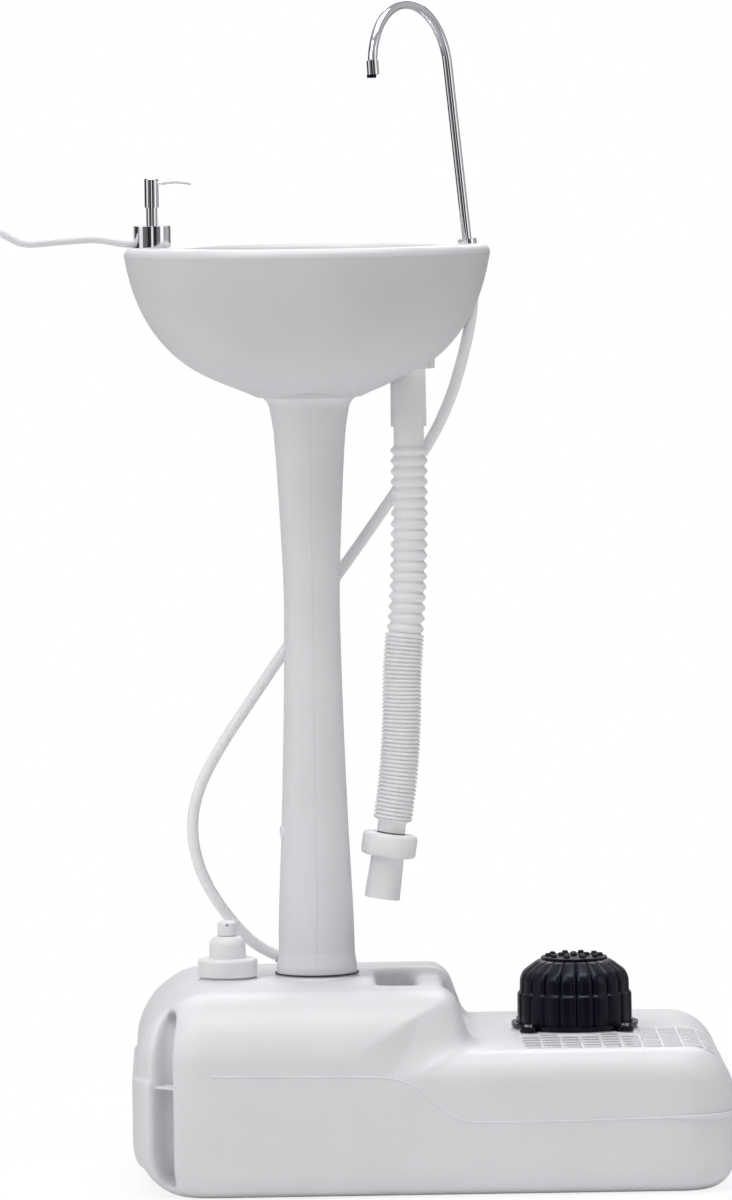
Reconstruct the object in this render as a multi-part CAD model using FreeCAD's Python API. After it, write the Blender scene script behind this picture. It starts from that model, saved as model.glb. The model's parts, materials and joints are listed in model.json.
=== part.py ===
import FreeCAD, Part
import math
import os

# Camping sink stand: a water tank with a foot pump, a hollow column, an oval basin with a spout,
# a soap dispenser and a towel bar, a corrugated drain hose and a thin supply hose.
# Millimetres. +X to the right of the front view, +Y to the back, +Z up.
# The origin is on the floor, under the middle of the tank.

os.makedirs("parts", exist_ok=True)
Vec = FreeCAD.Vector
UP = Vec(0, 0, 1)

# Clearances that every fit shares
FIT = 0.08                      # radial, where a round piece turns or slides in another
EASE = 0.25                     # radial, where a fixed piece is pushed into another
SOFT_GAP = 0.3                  # between a soft or moving piece and its neighbour
OVERRUN = 6.0                   # how far a cutter passes the face that it cuts
SAME_POINT = 0.05               # two points nearer than this are one

# Tank
TANK_LENGTH = 518.0
TANK_WIDTH = 350.0
TALL_HEIGHT = 173.0
LOW_HEIGHT = 123.5
TANK_WALL = 3.0
LEFT_CORNER_RADIUS = 60.0       # of the outline seen from above
RIGHT_CORNER_RADIUS = 45.0
TALL_EDGE_RADIUS = 58.0         # long top edges of the tall end
LEFT_TOP_RADIUS = 66.0
LOW_EDGE_RADIUS = 25.0
RIGHT_TOP_RADIUS = 42.0
RIGHT_BOTTOM_RADIUS = 26.0
FOOT_RADIUS = 20.0
END_PANEL_PROUD = 3.5
END_PANEL_BOTTOM = 24.0
END_PANEL_TOP = 102.0
END_PANEL_REACH = 24.0          # from the left end, along the tank
FLANGE_PROUD = 2.6              # moulding flange round the right end
FLANGE_THICKNESS = 3.0
FLANGE_HEIGHT = 66.0
FLANGE_REACH = 50.0

# Shoulder between the tall and the low end
SHOULDER_X = 18.0               # where its slope meets the tall top
SHOULDER_RUN = 17.0             # how far the slope runs out on its way down to the low top
SHOULDER_TOP_RADIUS = 14.0
SHOULDER_CORNER_RADIUS = 45.0

# Upright grooves in the left corners, with a web across
GROOVE_WIDTH = 27.0
GROOVE_DEPTH = 17.0
GROOVE_ANGLE = 53.0             # degrees from the tank's long axis
GROOVE_BOTTOM = 24.0
GROOVE_WEB_HEIGHT = 91.0
GROOVE_WEB = 3.0
GROOVE_WEB_SINK = 5.0           # how far the web lies back from the corner

# Carry handle: a trough in the tall top that opens on the shoulder, and a bar across it
TROUGH_LEFT = -45.0
TROUGH_HALF_WIDTH = 75.0
TROUGH_DEPTH = 45.0             # of its floor under the tall top
TROUGH_RADIUS = 16.0
BAR_LEFT = -12.0
BAR_WIDTH = 26.5
BAR_SETBACK = 8.0               # of its top under the tall top
BAR_THICKNESS = 19.0
BAR_RADIUS = 7.0

# Column
COLUMN_X = -97.0
COLUMN_SEAT = 4.5               # of its foot over the tall top
COLUMN_FOOT = TALL_HEIGHT + COLUMN_SEAT
COLUMN_TOP = 681.0
COLUMN_WALL = 3.0
COLUMN_FOOT_RADIUS = 35.2
COLUMN_HEAD_RADIUS = 41.6
FOOT_RING_HEIGHT = 6.0
BOSS_RADIUS = 36.5              # raised seat on the tank, under the column
BOSS_GAP = 0.3
SPIGOT_RADIUS = 28.0            # on the tank, inside the column's foot
SPIGOT_HEIGHT = 40.0
HEAD_SPIGOT_RADIUS = 27.2       # on the basin, inside the column's head
HEAD_SPIGOT_LENGTH = 36.0
HEAD_SPIGOT_WALL = 3.2
# Radius of the column from the foot up: share of its height, share of the foot's radius
COLUMN_SHARES = ((0.036, 0.946), (0.114, 0.921), (0.192, 0.870), (0.270, 0.822), (0.348, 0.784),
                 (0.426, 0.748), (0.505, 0.722), (0.610, 0.696), (0.670, 0.697), (0.740, 0.732),
                 (0.817, 0.784), (0.869, 0.822), (0.921, 0.871), (0.948, 0.907), (0.974, 0.972))
HEAD_SWEEP_SHARE = 0.035        # bulge of the curve into the basin, of the head's radius

# Plug in the column's blow hole
PLUG_RADIUS = 5.8
PLUG_PROUD = 0.9
PLUG_LENGTH = 5.0
PLUG_HEIGHT = 301.0
PLUG_TURN = 12.0                # degrees from the left, towards the front

# Basin
BASIN_HALF_LENGTH = 159.4
BASIN_WIDTH_SHARE = 0.83        # of its length
RIM_TOP = 812.5
RIM_RADIUS = 7.5
BASIN_WALL = 3.0
BASIN_BOTTOM_RADIUS = 45.5
# Outside of the basin from the lip down: share of its depth, share of its half length
BASIN_SHARES = ((0.140, 0.9774), (0.354, 0.9222), (0.569, 0.8250), (0.780, 0.6524), (0.889, 0.4925))
RIM_TURN_SHARES = (0.0, 0.25, 0.5, 0.75, 1.0)   # of the quarter turn over the rim's edge
BOWL_RADIUS = 117.0
BOWL_FLOOR = 722.0
BOWL_FLOOR_RADIUS = 101.0
BOWL_CORNER_RADIUS = 42.0
BOWL_LIP_RADIUS = 7.0

# Drain
DRAIN_X = -10.5
DRAIN_SEAT_RADIUS = 27.0
DRAIN_SEAT_DEPTH = 3.5
DRAIN_POST_BOTTOM = 714.5
TAIL_RADIUS = 12.7
TAIL_WALL = 2.0
TAIL_BOTTOM = 672.0
STRAINER_RADIUS = 25.0
STRAINER_FLANGE = 2.0
STRAINER_HOLE_RADIUS = 2.2
STRAINER_HOLE_CIRCLE = 6.6
STRAINER_HOLES = 6
GASKET_THICKNESS = 1.5
GASKET_WALL = 8.0
DRAIN_NUT_RADIUS = 23.5
DRAIN_NUT_BOTTOM = 704.5
DRAIN_NUT_RIBS = 12
DRAIN_NUT_RIB_RADIUS = 1.6
ADAPTOR_TOP_RADIUS = 15.2
ADAPTOR_BOTTOM_RADIUS = 15.7
ADAPTOR_BOTTOM = 654.0
ADAPTOR_BORE = 11.4
CUFF_RADIUS = 13.2
CUFF_SOCKET = 12.0

# Drain hose
HOSE_BORE = 11.0
CUFF_BOTTOM = 638.0
OPEN_RIBS = 18
OPEN_RIDGE_RADIUS = 16.0
OPEN_VALLEY_RADIUS = 13.0
OPEN_LENGTH = 165.0
CLOSED_RIBS = 46
CLOSED_RIDGE_RADIUS = 17.0
CLOSED_VALLEY_RADIUS = 15.6
CLOSED_LENGTH = 163.0
# Widths of a rib's four circles along its pitch, as shares
RIB_SHARES = (0.0, 0.28, 0.5, 0.78)
NECK_RADIUS = 12.2
NECK_LENGTH = 12.0
HOSE_COLLAR_RADIUS = 24.0
HOSE_COLLAR_LENGTH = 20.0
HOSE_COLLAR_EDGE = 3.0
HOSE_END_TOP_RADIUS = 14.3
HOSE_END_RADIUS = 15.5
HOSE_END_LENGTH = 38.0
HOSE_END_BORE = 12.0
# Centre line of the drain hose, from its cuff to its free end
DRAIN_ROUTE = ((-10.5, 0.0, 654.0), (-10.6, 0.4, 600.0), (-11.3, 1.0, 548.0), (-13.6, 1.0, 496.0),
               (-19.0, 0.0, 447.0), (-19.9, 0.5, 396.0), (-23.2, 1.0, 350.0), (-29.6, 1.0, 306.0),
               (-40.6, 1.0, 232.0))

# Supply hose
SUPPLY_RADIUS = 4.9
SUPPLY_BORE = 3.2
# Centre line of the supply hose, from the spout's tail to the tank
SUPPLY_ROUTE = ((46.2, 0.0, 778.4), (47.6, 0.0, 763.7), (43.2, 3.0, 736.0), (36.6, 9.0, 709.0),
                (27.5, 18.0, 678.0), (11.0, 28.0, 642.0), (-15.0, 34.0, 605.0), (-45.0, 37.0, 562.0),
                (-80.0, 40.0, 514.0), (-116.0, 40.0, 464.0), (-150.0, 38.0, 415.0),
                (-180.0, 36.0, 372.0), (-201.0, 35.0, 332.0), (-205.5, 36.0, 294.0),
                (-195.0, 38.0, 255.0), (-171.0, 42.0, 218.5), (-147.0, 46.0, 193.4),
                (-124.1, 46.0, 184.9))

# Elbow on the tank's top that the supply hose is pushed on
BARB_X = -111.0
BARB_Y = 46.0
BARB_RADIUS = 3.0
BARB_BORE = 1.6
BARB_LENGTH = 22.0
ELBOW_RADIUS = 5.0
ELBOW_BASE_RADIUS = 9.0
ELBOW_BASE_HEIGHT = 2.5
ELBOW_HEIGHT = 7.0
CLAMP_WIDTH = 5.0
CLAMP_THICKNESS = 0.8
CLAMP_EAR = 4.0
CLAMP_SETBACK = 5.0

# Faucet
FAUCET_X = 42.8
FAUCET_LEAN = 5.6               # degrees, towards the basin
FAUCET_TUBE_RADIUS = 4.1
FAUCET_TUBE_BORE = 3.2
FAUCET_STEM = 156.6
FAUCET_ARCH_RADIUS = 56.0
FAUCET_ARCH_SWEEP = 175.0       # degrees
FAUCET_TURN = 53.3              # degrees, from the basin's long axis towards the front
NOZZLE_RADIUS = 5.2
NOZZLE_BORE = 3.6
NOZZLE_LENGTH = 12.0
NOZZLE_CUP = 6.0
RING_RADIUS = 8.2
RING_HEIGHT = 4.0
SHANK_RADIUS = 6.4
SHANK_LENGTH = 34.0
SHANK_TAIL_RADIUS = 3.0
SHANK_TAIL_LENGTH = 8.0
SHANK_NUT_RADIUS = 11.0
SHANK_NUT_HEIGHT = 7.0
SHANK_NUT_GAP = 1.35            # the nut is square to the leaning shank
TUBE_DEPTH = 18.0               # how far the spout's tube goes down into the shank
ORING_WALL = 1.2
HOSE_HOLE_RADIUS = 8.0          # in the basin's outside, for the supply hose

# Soap dispenser
SOAP_X = -231.5
SOAP_COLLAR_RADIUS = 15.5
SOAP_COLLAR_TOP = 831.5
BOTTLE_RADIUS = 12.6
BOTTLE_DEPTH = 38.0
BOTTLE_WALL = 1.3
SOAP_BARREL_RADIUS = 7.0
SOAP_BARREL_WALL = 1.0
SOAP_BARREL_DEPTH = 26.0
SOAP_STEM_RADIUS = 4.9
SOAP_STEM_BORE = 1.6
SOAP_STEM_TOP = 853.0
SOAP_STEM_DEPTH = 8.0
SOAP_HEAD_RADIUS = 6.2
SOAP_HEAD_BOTTOM = 847.5
SOAP_HEAD_TOP = 872.8
SOAP_HEAD_EDGE = 1.2
SOAP_PEG_RADIUS = 3.0
SOAP_SPRING_RADIUS = 5.4
SOAP_SPRING_WALL = 0.8
DIP_RADIUS = 2.0
DIP_BORE = 1.2
DIP_END_GAP = 3.0
SOAP_NOZZLE_RADIUS = 1.7
SOAP_NOZZLE_BORE = 0.8
SOAP_NOZZLE_REACH = 34.5
SOAP_NOZZLE_HEIGHT = 866.0
SOAP_NOZZLE_RISE = 3.6
SOAP_NOZZLE_DROP = 1.6

# Towel bar
TOWEL_RADIUS = 3.8
TOWEL_RING_WALL = 3.0
TOWEL_RING_HEIGHT = 8.0
TOWEL_RISE = 5.0
TOWEL_FALL = 4.5
TOWEL_RISE_REACH = 31.0
TOWEL_REACH = 132.0
TOWEL_STRAIGHT = 113.0
TOWEL_HOOK_RISE = 11.0
TOWEL_BEND = 12.0

# Filler cap
CAP_X = -175.0
NECK_OUTER_RADIUS = 19.5
NECK_BORE = 16.5
NECK_HEIGHT = 14.0              # over the tall top
CAP_SEAT_RADIUS = 24.5
CAP_RADIUS = 26.0
CAP_RISE = 2.4                  # of its foot over the tall top
CAP_HEIGHT = 15.6
CAP_EDGE = 3.0
BELL_RADIUS = 15.8
BELL_HEIGHT = 19.5
BELL_EDGE = 8.0
VENT_RADIUS = 8.5
VENT_HEIGHT = 13.0
VENT_EDGE = 3.0
VENT_GAP = 0.6
VENT_STEM_RADIUS = 4.0
VENT_STEM_LENGTH = 10.0
VENT_HOLE_RADIUS = 0.9
SEAL_THICKNESS = 1.5

# Foot pump
PUMP_X = 128.0
PUMP_PAD_RADIUS = 55.5
PUMP_PAD_HEIGHT = 3.0
PUMP_HOLE_RADIUS = 40.0
PUMP_BASE_RADIUS = 53.0
PUMP_BASE_THICKNESS = 1.5
CHAMBER_RADIUS = 30.0
CHAMBER_DEPTH = 20.0
CHAMBER_WALL = 2.5
PUMP_FLANGE_RADIUS = 55.5
PUMP_FLANGE_THICKNESS = 3.0
PUMP_LUG_RADIUS = 8.0
PUMP_LUG_CIRCLE = 59.0
PUMP_LUGS = 4
LUG_TURN = 45.0                 # degrees from the tank's long axis to the first lug
SCREW_RADIUS = 2.0
SCREW_HEAD_RADIUS = 4.0
SCREW_HEAD_HEIGHT = 1.8
SCREW_LENGTH = 9.0
SCREW_SLOT = 0.9
BELLOWS_RADIUS = 50.8
BELLOWS_RIB = 1.6
BELLOWS_RIBS = 20
BELLOWS_RIB_SHARE = 0.62        # of the pitch of the ribs
BELLOWS_WALL = 2.4
BELLOWS_HEIGHT = 58.0
# Outline of the bellows from its foot up: share of its radius, share of its height
BELLOWS_SHARES = ((1.0, 0.0), (0.985, 0.53), (0.945, 0.56), (0.935, 0.74), (0.90, 0.83),
                  (0.72, 0.93), (0.58, 0.985))
TREAD_RADIUS = 29.0
TREAD_THICKNESS = 2.2
TREAD_KNOBS = 10
TREAD_KNOB_RADIUS = 3.0
TREAD_KNOB_HEIGHT = 3.0
TREAD_KNOB_CIRCLE = 22.0
PUMP_SPRING_RADIUS = 20.0
PUMP_SPRING_WALL = 2.0
VALVE_RADIUS = 7.0
VALVE_THICKNESS = 1.5
VALVE_PORT_RADIUS = 3.4
VALVE_SPREAD = 10.0
PICKUP_RADIUS = 5.0
PICKUP_BORE = 3.6
PICKUP_SOCKET = 8.0
PICKUP_STRAINER_RADIUS = 9.0
PICKUP_STRAINER_HEIGHT = 10.0
PICKUP_FLOOR_GAP = 3.0
DELIVERY_RADIUS = 4.0
DELIVERY_BORE = 2.8
# Centre line of the tube inside the tank, from the pump to the elbow
DELIVERY_ROUTE = ((96.0, 0.0, 113.0), (62.0, 4.0, 113.0), (22.0, 18.0, 110.0), (-22.0, 34.0, 110.0),
                  (-62.0, 44.0, 112.0))
DELIVERY_BEND_RUN = 16.0        # its last bend: how far before the elbow, and how far under its foot
DELIVERY_BEND_DROP = 46.0
DELIVERY_RISE = 24.0            # its last straight run


def rounded_face(corners, place):
    """A face whose corners (across, up, radius) are rounded; place turns a corner into a point."""
    count = len(corners)
    bends = []
    for i, (across, up, radius) in enumerate(corners):
        here = Vec(across, up, 0)
        come = (here - Vec(*corners[i - 1][:2], 0)).normalize()
        go = (Vec(*corners[(i + 1) % count][:2], 0) - here).normalize()
        half_turn = come.getAngle(go) / 2
        reach = radius * math.tan(half_turn)
        inward = (go - come).normalize() * (radius / math.cos(half_turn) - radius)
        bends.append((here - come * reach, here + inward, here + go * reach))
    edges = []
    for i, (start, middle, end) in enumerate(bends):
        if corners[i][2]:
            edges.append(Part.Arc(*(place(p.x, p.y) for p in (start, middle, end))).toShape())
        following = bends[(i + 1) % count][0]
        if end.distanceToPoint(following) > SAME_POINT:
            edges.append(Part.makeLine(place(end.x, end.y), place(following.x, following.y)))
    return Part.Face(Part.Wire(edges))


def rod(radius, bottom, top, x=0, y=0):
    return Part.makeCylinder(radius, top - bottom, Vec(x, y, bottom))


def ring(outer, inner, bottom, top, x=0, y=0):
    bore = rod(inner, bottom - OVERRUN, top + OVERRUN, x, y)
    return rod(outer, bottom, top, x, y).cut(bore)


def box(x0, x1, y0, y1, z0, z1):
    return Part.makeBox(x1 - x0, y1 - y0, z1 - z0, Vec(x0, y0, z0))


def turned(corners, x=0, y=0):
    """A solid of revolution about an upright axis, from rounded corners (radius, height, rounding)."""
    face = rounded_face(corners, lambda r, z: Vec(x + r, y, z))
    return face.revolve(Vec(x, y, 0), UP, 360)


def fused(first, *others):
    return first.multiFuse(list(others)).removeSplitter()


def around(count, radius, x=0, y=0, start=0.0):
    """Evenly spaced places on a circle."""
    turns = [math.radians(start) + 2 * math.pi * i / count for i in range(count)]
    return [(x + radius * math.cos(t), y + radius * math.sin(t)) for t in turns]


def save(name, shape):
    solids = shape.Solids
    assert shape.isValid() and solids, name
    whole = solids[0] if len(solids) == 1 else Part.makeCompound(solids)
    whole.exportStep(f"parts/{name}.step")
    low, high = shape.BoundBox.ZMin, shape.BoundBox.ZMax
    print(f"{name:18s} solids {len(solids):3d}  volume {shape.Volume / 1000:9.2f} cm3  "
          f"x {shape.BoundBox.XMin:7.1f} {shape.BoundBox.XMax:7.1f}  z {low:7.1f} {high:7.1f}")


class Route:
    """Straight runs joined by tangent arcs: each radius is 0.45 of the shorter run over the
    tangent of half the turn."""

    def __init__(self, name, points):
        self.pieces = []
        corners = [Vec(*p) for p in points]
        bends = [(corners[0], None, corners[0])]
        radii = []
        for before, here, after in zip(corners, corners[1:], corners[2:]):
            come, go = here - before, after - here
            reach = 0.45 * min(come.Length, go.Length)
            come.normalize()
            go.normalize()
            half_turn = come.getAngle(go) / 2
            radius = reach / math.tan(half_turn)
            radii.append(radius)
            inward = (go - come).normalize() * (radius / math.cos(half_turn) - radius)
            bends.append((here - come * reach, here + inward, here + go * reach))
        bends.append((corners[-1], None, corners[-1]))
        edges = []
        for (_, _, end), (start, middle, finish) in zip(bends, bends[1:]):
            edges.append(Part.LineSegment(end, start).toShape())
            if middle is not None:
                edges.append(Part.Arc(start, middle, finish).toShape())
        self.edges = edges
        self.wire = Part.Wire(edges)
        self.length = self.wire.Length
        print(f"{name}: length {self.length:.1f}, arc radii", [round(r) for r in radii])

    def at(self, distance):
        """The point at a distance along the route, and the direction there."""
        for edge in self.edges:
            if distance <= edge.Length or edge is self.edges[-1]:
                parameter = edge.getParameterByLength(min(distance, edge.Length))
                return edge.valueAt(parameter), edge.tangentAt(parameter)
            distance -= edge.Length

    def tube(self, radius):
        """The whole route as a round solid."""
        start, direction = self.at(0)
        profile = Part.Wire(Part.makeCircle(radius, start, direction))
        return self.wire.makePipeShell([profile], True, False)

    def circle(self, distance, radius):
        """A circle across the route, with its seam towards +X."""
        centre, direction = self.at(distance)
        side = UP.cross(direction) if abs(direction.z) < 0.5 else Vec(0, 1, 0).cross(direction)
        side = side.normalize()
        turn = FreeCAD.Rotation(side, direction.cross(side), direction, "ZXY")
        circle = Part.makeCircle(radius)
        circle.Placement = FreeCAD.Placement(centre, turn)
        return Part.Wire(circle)

    def ribbed(self, start, length, ribs, ridge, valley, bore):
        """A hose with ribs, each a ruled loft through four circles, and a smooth bore."""
        pitch = length / ribs
        circles = []
        for rib in range(ribs):
            for share, radius in zip(RIB_SHARES, (valley, ridge, ridge, valley)):
                circles.append(self.circle(start + (rib + share) * pitch, radius))
        circles.append(self.circle(start + length, valley))
        body = Part.makeLoft(circles, True, True)
        steps = max(4, ribs // 2)
        hollow = [self.circle(start + length * i / steps, bore) for i in range(steps + 1)]
        hollow.insert(0, self.circle_beyond(start, -OVERRUN, bore))
        hollow.append(self.circle_beyond(start + length, OVERRUN, bore))
        return body.cut(Part.makeLoft(hollow, True, True))

    def circle_beyond(self, distance, extra, radius):
        """A circle moved straight on from a place on the route."""
        wire = self.circle(distance, radius)
        wire.translate(self.at(distance)[1] * extra)
        return wire

    def sleeve(self, start, length, first_radius, last_radius, bore, edge=0.0):
        """A straight round piece on the route, open at both ends, with its outer edges rounded."""
        point, direction = self.at(start)
        if first_radius == last_radius:
            outer = Part.makeCylinder(first_radius, length, point, direction)
        else:
            outer = Part.makeCone(first_radius, last_radius, length, point, direction)
        if edge:
            outer = outer.makeFillet(edge, [e for e in outer.Edges if e.Closed])
        inner = Part.makeCylinder(bore, length + 2 * OVERRUN, point - direction * OVERRUN, direction)
        return outer.cut(inner)


# Water tank

TROUGH_FLOOR = TALL_HEIGHT - TROUGH_DEPTH
BAR_TOP = TALL_HEIGHT - BAR_SETBACK
NECK_TOP = TALL_HEIGHT + NECK_HEIGHT
CAP_BOTTOM = TALL_HEIGHT + CAP_RISE
CAP_TOP = CAP_BOTTOM + CAP_HEIGHT
BELL_TOP = CAP_TOP + BELL_HEIGHT
VENT_TOP = BELL_TOP + VENT_HEIGHT
TANK_LEFT = -TANK_LENGTH / 2 + END_PANEL_PROUD
TANK_RIGHT = TANK_LENGTH / 2
HALF_WIDTH = TANK_WIDTH / 2
SHOULDER_SLOPE = SHOULDER_RUN / (TALL_HEIGHT - LOW_HEIGHT)
SHOULDER_FOOT_X = SHOULDER_X + SHOULDER_RUN
CORNER_X = TANK_LEFT + LEFT_CORNER_RADIUS
CORNER_Y = HALF_WIDTH - LEFT_CORNER_RADIUS


def plan_face(right, right_radius, grow=0.0):
    """The outline of the tank seen from above."""
    left, half = TANK_LEFT - grow, HALF_WIDTH + grow
    return rounded_face(((left, -half, LEFT_CORNER_RADIUS + grow), (right + grow, -half, right_radius + grow),
                         (right + grow, half, right_radius + grow), (left, half, LEFT_CORNER_RADIUS + grow)),
                        lambda x, y: Vec(x, y, 0))


def tank_block(plan, side, section, inset):
    """What three outlines, seen from above, from the front and from the end, have in common."""
    if inset:
        plan, side, section = (face.makeOffset2D(-inset) for face in (plan, side, section))
    upright = plan.extrude(UP * TALL_HEIGHT)
    across = side.extrude(Vec(0, TANK_WIDTH, 0))
    along = section.extrude(Vec(TANK_LENGTH, 0, 0))
    return upright.common(across).common(along)


def front_place(x, z):
    return Vec(x, -HALF_WIDTH, z)


def end_section(height, edge_radius):
    """The outline of the tank seen from its end."""
    return rounded_face(((-HALF_WIDTH, 0, FOOT_RADIUS), (HALF_WIDTH, 0, FOOT_RADIUS),
                         (HALF_WIDTH, height, edge_radius), (-HALF_WIDTH, height, edge_radius)),
                        lambda y, z: Vec(TANK_LEFT, y, z))


def tank_form(inset=0.0):
    """The tank's outside, or its inside for a wall as thick as the inset."""
    run_out = SHOULDER_X + SHOULDER_SLOPE * TALL_HEIGHT
    tall = tank_block(
        plan_face(SHOULDER_FOOT_X, SHOULDER_CORNER_RADIUS),
        rounded_face(((TANK_LEFT, 0, FOOT_RADIUS), (run_out, 0, 0),
                      (SHOULDER_X, TALL_HEIGHT, SHOULDER_TOP_RADIUS),
                      (TANK_LEFT, TALL_HEIGHT, LEFT_TOP_RADIUS)), front_place),
        end_section(TALL_HEIGHT, TALL_EDGE_RADIUS), inset)
    low = tank_block(
        plan_face(TANK_RIGHT, RIGHT_CORNER_RADIUS),
        rounded_face(((TANK_LEFT, 0, FOOT_RADIUS), (TANK_RIGHT, 0, RIGHT_BOTTOM_RADIUS),
                      (TANK_RIGHT, LOW_HEIGHT, RIGHT_TOP_RADIUS),
                      (TANK_LEFT, LOW_HEIGHT, FOOT_RADIUS)), front_place),
        end_section(LOW_HEIGHT, LOW_EDGE_RADIUS), inset)
    return fused(tall, low)


def trough(grow=0.0):
    """The hollow of the carry handle, which runs out over the shoulder."""
    half, radius = TROUGH_HALF_WIDTH + grow, TROUGH_RADIUS + grow
    right = SHOULDER_FOOT_X + OVERRUN
    face = rounded_face(((TROUGH_LEFT - grow, -half, radius), (right, -half, 0),
                         (right, half, 0), (TROUGH_LEFT - grow, half, radius)),
                        lambda x, y: Vec(x, y, TROUGH_FLOOR - grow))
    return face.extrude(UP * (TALL_HEIGHT + OVERRUN - TROUGH_FLOOR + grow))


def groove(side, grow=0.0):
    """An upright groove in a left corner; side is -1 at the front and 1 at the back."""
    half = GROOVE_WIDTH / 2 + grow
    depth = LEFT_CORNER_RADIUS - GROOVE_DEPTH - grow + half
    bottom = GROOVE_BOTTOM - grow
    height = TALL_HEIGHT + OVERRUN - bottom
    mouth = -LEFT_CORNER_RADIUS - END_PANEL_PROUD - OVERRUN
    slot = fused(Part.makeCylinder(half, height, Vec(-depth, 0, bottom)),
                 box(mouth, -depth, -half, half, bottom, bottom + height))
    if not grow:
        web_face = -LEFT_CORNER_RADIUS + GROOVE_WEB_SINK
        slot = slot.cut(box(web_face, 0, -GROOVE_WIDTH, GROOVE_WIDTH, GROOVE_WEB_HEIGHT - GROOVE_WEB / 2,
                            GROOVE_WEB_HEIGHT + GROOVE_WEB / 2))
    slot.rotate(Vec(0, 0, 0), UP, -side * GROOVE_ANGLE)
    slot.translate(Vec(CORNER_X, side * CORNER_Y, 0))
    return slot


def end_panel():
    """The raised panel on the left end, between the grooves."""
    plan = plan_face(SHOULDER_FOOT_X, SHOULDER_CORNER_RADIUS, END_PANEL_PROUD)
    slab = plan.extrude(UP * (END_PANEL_TOP - END_PANEL_BOTTOM))
    slab.translate(UP * END_PANEL_BOTTOM)
    reach = TANK_LEFT + END_PANEL_REACH
    return slab.common(box(-TANK_LENGTH, reach, -TANK_WIDTH, TANK_WIDTH, 0, TALL_HEIGHT))


def end_flange():
    """The moulding flange round the right end."""
    slab = plan_face(TANK_RIGHT, RIGHT_CORNER_RADIUS, FLANGE_PROUD).extrude(UP * FLANGE_THICKNESS)
    slab.translate(UP * (FLANGE_HEIGHT - FLANGE_THICKNESS / 2))
    slab = slab.common(box(TANK_RIGHT - FLANGE_REACH, TANK_LENGTH, -TANK_WIDTH, TANK_WIDTH, 0, LOW_HEIGHT))
    core = plan_face(TANK_RIGHT, RIGHT_CORNER_RADIUS).makeOffset2D(-TANK_WALL).extrude(UP * TALL_HEIGHT)
    return slab.cut(core)


def handle_bar():
    """The bar of the carry handle, from the trough's front wall to its back wall."""
    right, bottom = BAR_LEFT + BAR_WIDTH, BAR_TOP - BAR_THICKNESS
    front = -TROUGH_HALF_WIDTH - TANK_WALL / 2
    face = rounded_face(((BAR_LEFT, bottom, BAR_RADIUS), (right, bottom, BAR_RADIUS),
                         (right, BAR_TOP, BAR_RADIUS), (BAR_LEFT, BAR_TOP, BAR_RADIUS)),
                        lambda x, z: Vec(x, front, z))
    return face.extrude(Vec(0, -2 * front, 0))


def make_tank():
    inside = tank_form(TANK_WALL).cut(trough(TANK_WALL))
    for side in (-1, 1):
        inside = inside.cut(groove(side, TANK_WALL))
    spigot_top = COLUMN_FOOT + SPIGOT_HEIGHT
    inside = fused(inside, rod(SPIGOT_RADIUS - TANK_WALL, TALL_HEIGHT - OVERRUN,
                               spigot_top - TANK_WALL, COLUMN_X))
    body = fused(tank_form(), end_panel(), end_flange())
    body = body.cut(trough())
    for side in (-1, 1):
        body = body.cut(groove(side))
    pad_top = LOW_HEIGHT + PUMP_PAD_HEIGHT
    base = TALL_HEIGHT - TANK_WALL / 2
    lugs = around(PUMP_LUGS, PUMP_LUG_CIRCLE, PUMP_X, 0, LUG_TURN)
    boss_bottom = pad_top - SCREW_LENGTH - TANK_WALL
    bosses = [rod(SCREW_HEAD_RADIUS, boss_bottom, pad_top, x, y) for x, y in lugs]
    body = fused(body, handle_bar(),
                 rod(BOSS_RADIUS, base, COLUMN_FOOT - BOSS_GAP, COLUMN_X),
                 rod(SPIGOT_RADIUS, base, spigot_top, COLUMN_X),
                 rod(CAP_SEAT_RADIUS, base, CAP_BOTTOM - SOFT_GAP, CAP_X),
                 rod(NECK_OUTER_RADIUS, base, NECK_TOP, CAP_X),
                 rod(PUMP_PAD_RADIUS, LOW_HEIGHT - TANK_WALL / 2, pad_top, PUMP_X),
                 *(rod(PUMP_LUG_RADIUS, LOW_HEIGHT - TANK_WALL / 2, pad_top, x, y) for x, y in lugs), *bosses)
    holes = [inside.cut(Part.makeCompound(bosses)),
             rod(NECK_BORE, TALL_HEIGHT - 2 * OVERRUN, NECK_TOP + OVERRUN, CAP_X),
             rod(PUMP_HOLE_RADIUS, LOW_HEIGHT - 2 * OVERRUN, pad_top + OVERRUN, PUMP_X),
             rod(ELBOW_RADIUS + EASE, TALL_HEIGHT - 2 * OVERRUN, TALL_HEIGHT + OVERRUN, BARB_X, BARB_Y)]
    holes += [rod(SCREW_RADIUS + FIT, pad_top - SCREW_LENGTH - SOFT_GAP, pad_top + OVERRUN, x, y)
              for x, y in lugs]
    for hole in holes:
        body = body.cut(hole)
    return body


# Column

def column_radius_points(inset=0.0):
    height = COLUMN_TOP - COLUMN_FOOT
    return [Vec(COLUMN_X + share * COLUMN_FOOT_RADIUS - inset, 0, COLUMN_FOOT + level * height)
            for level, share in COLUMN_SHARES]


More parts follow.
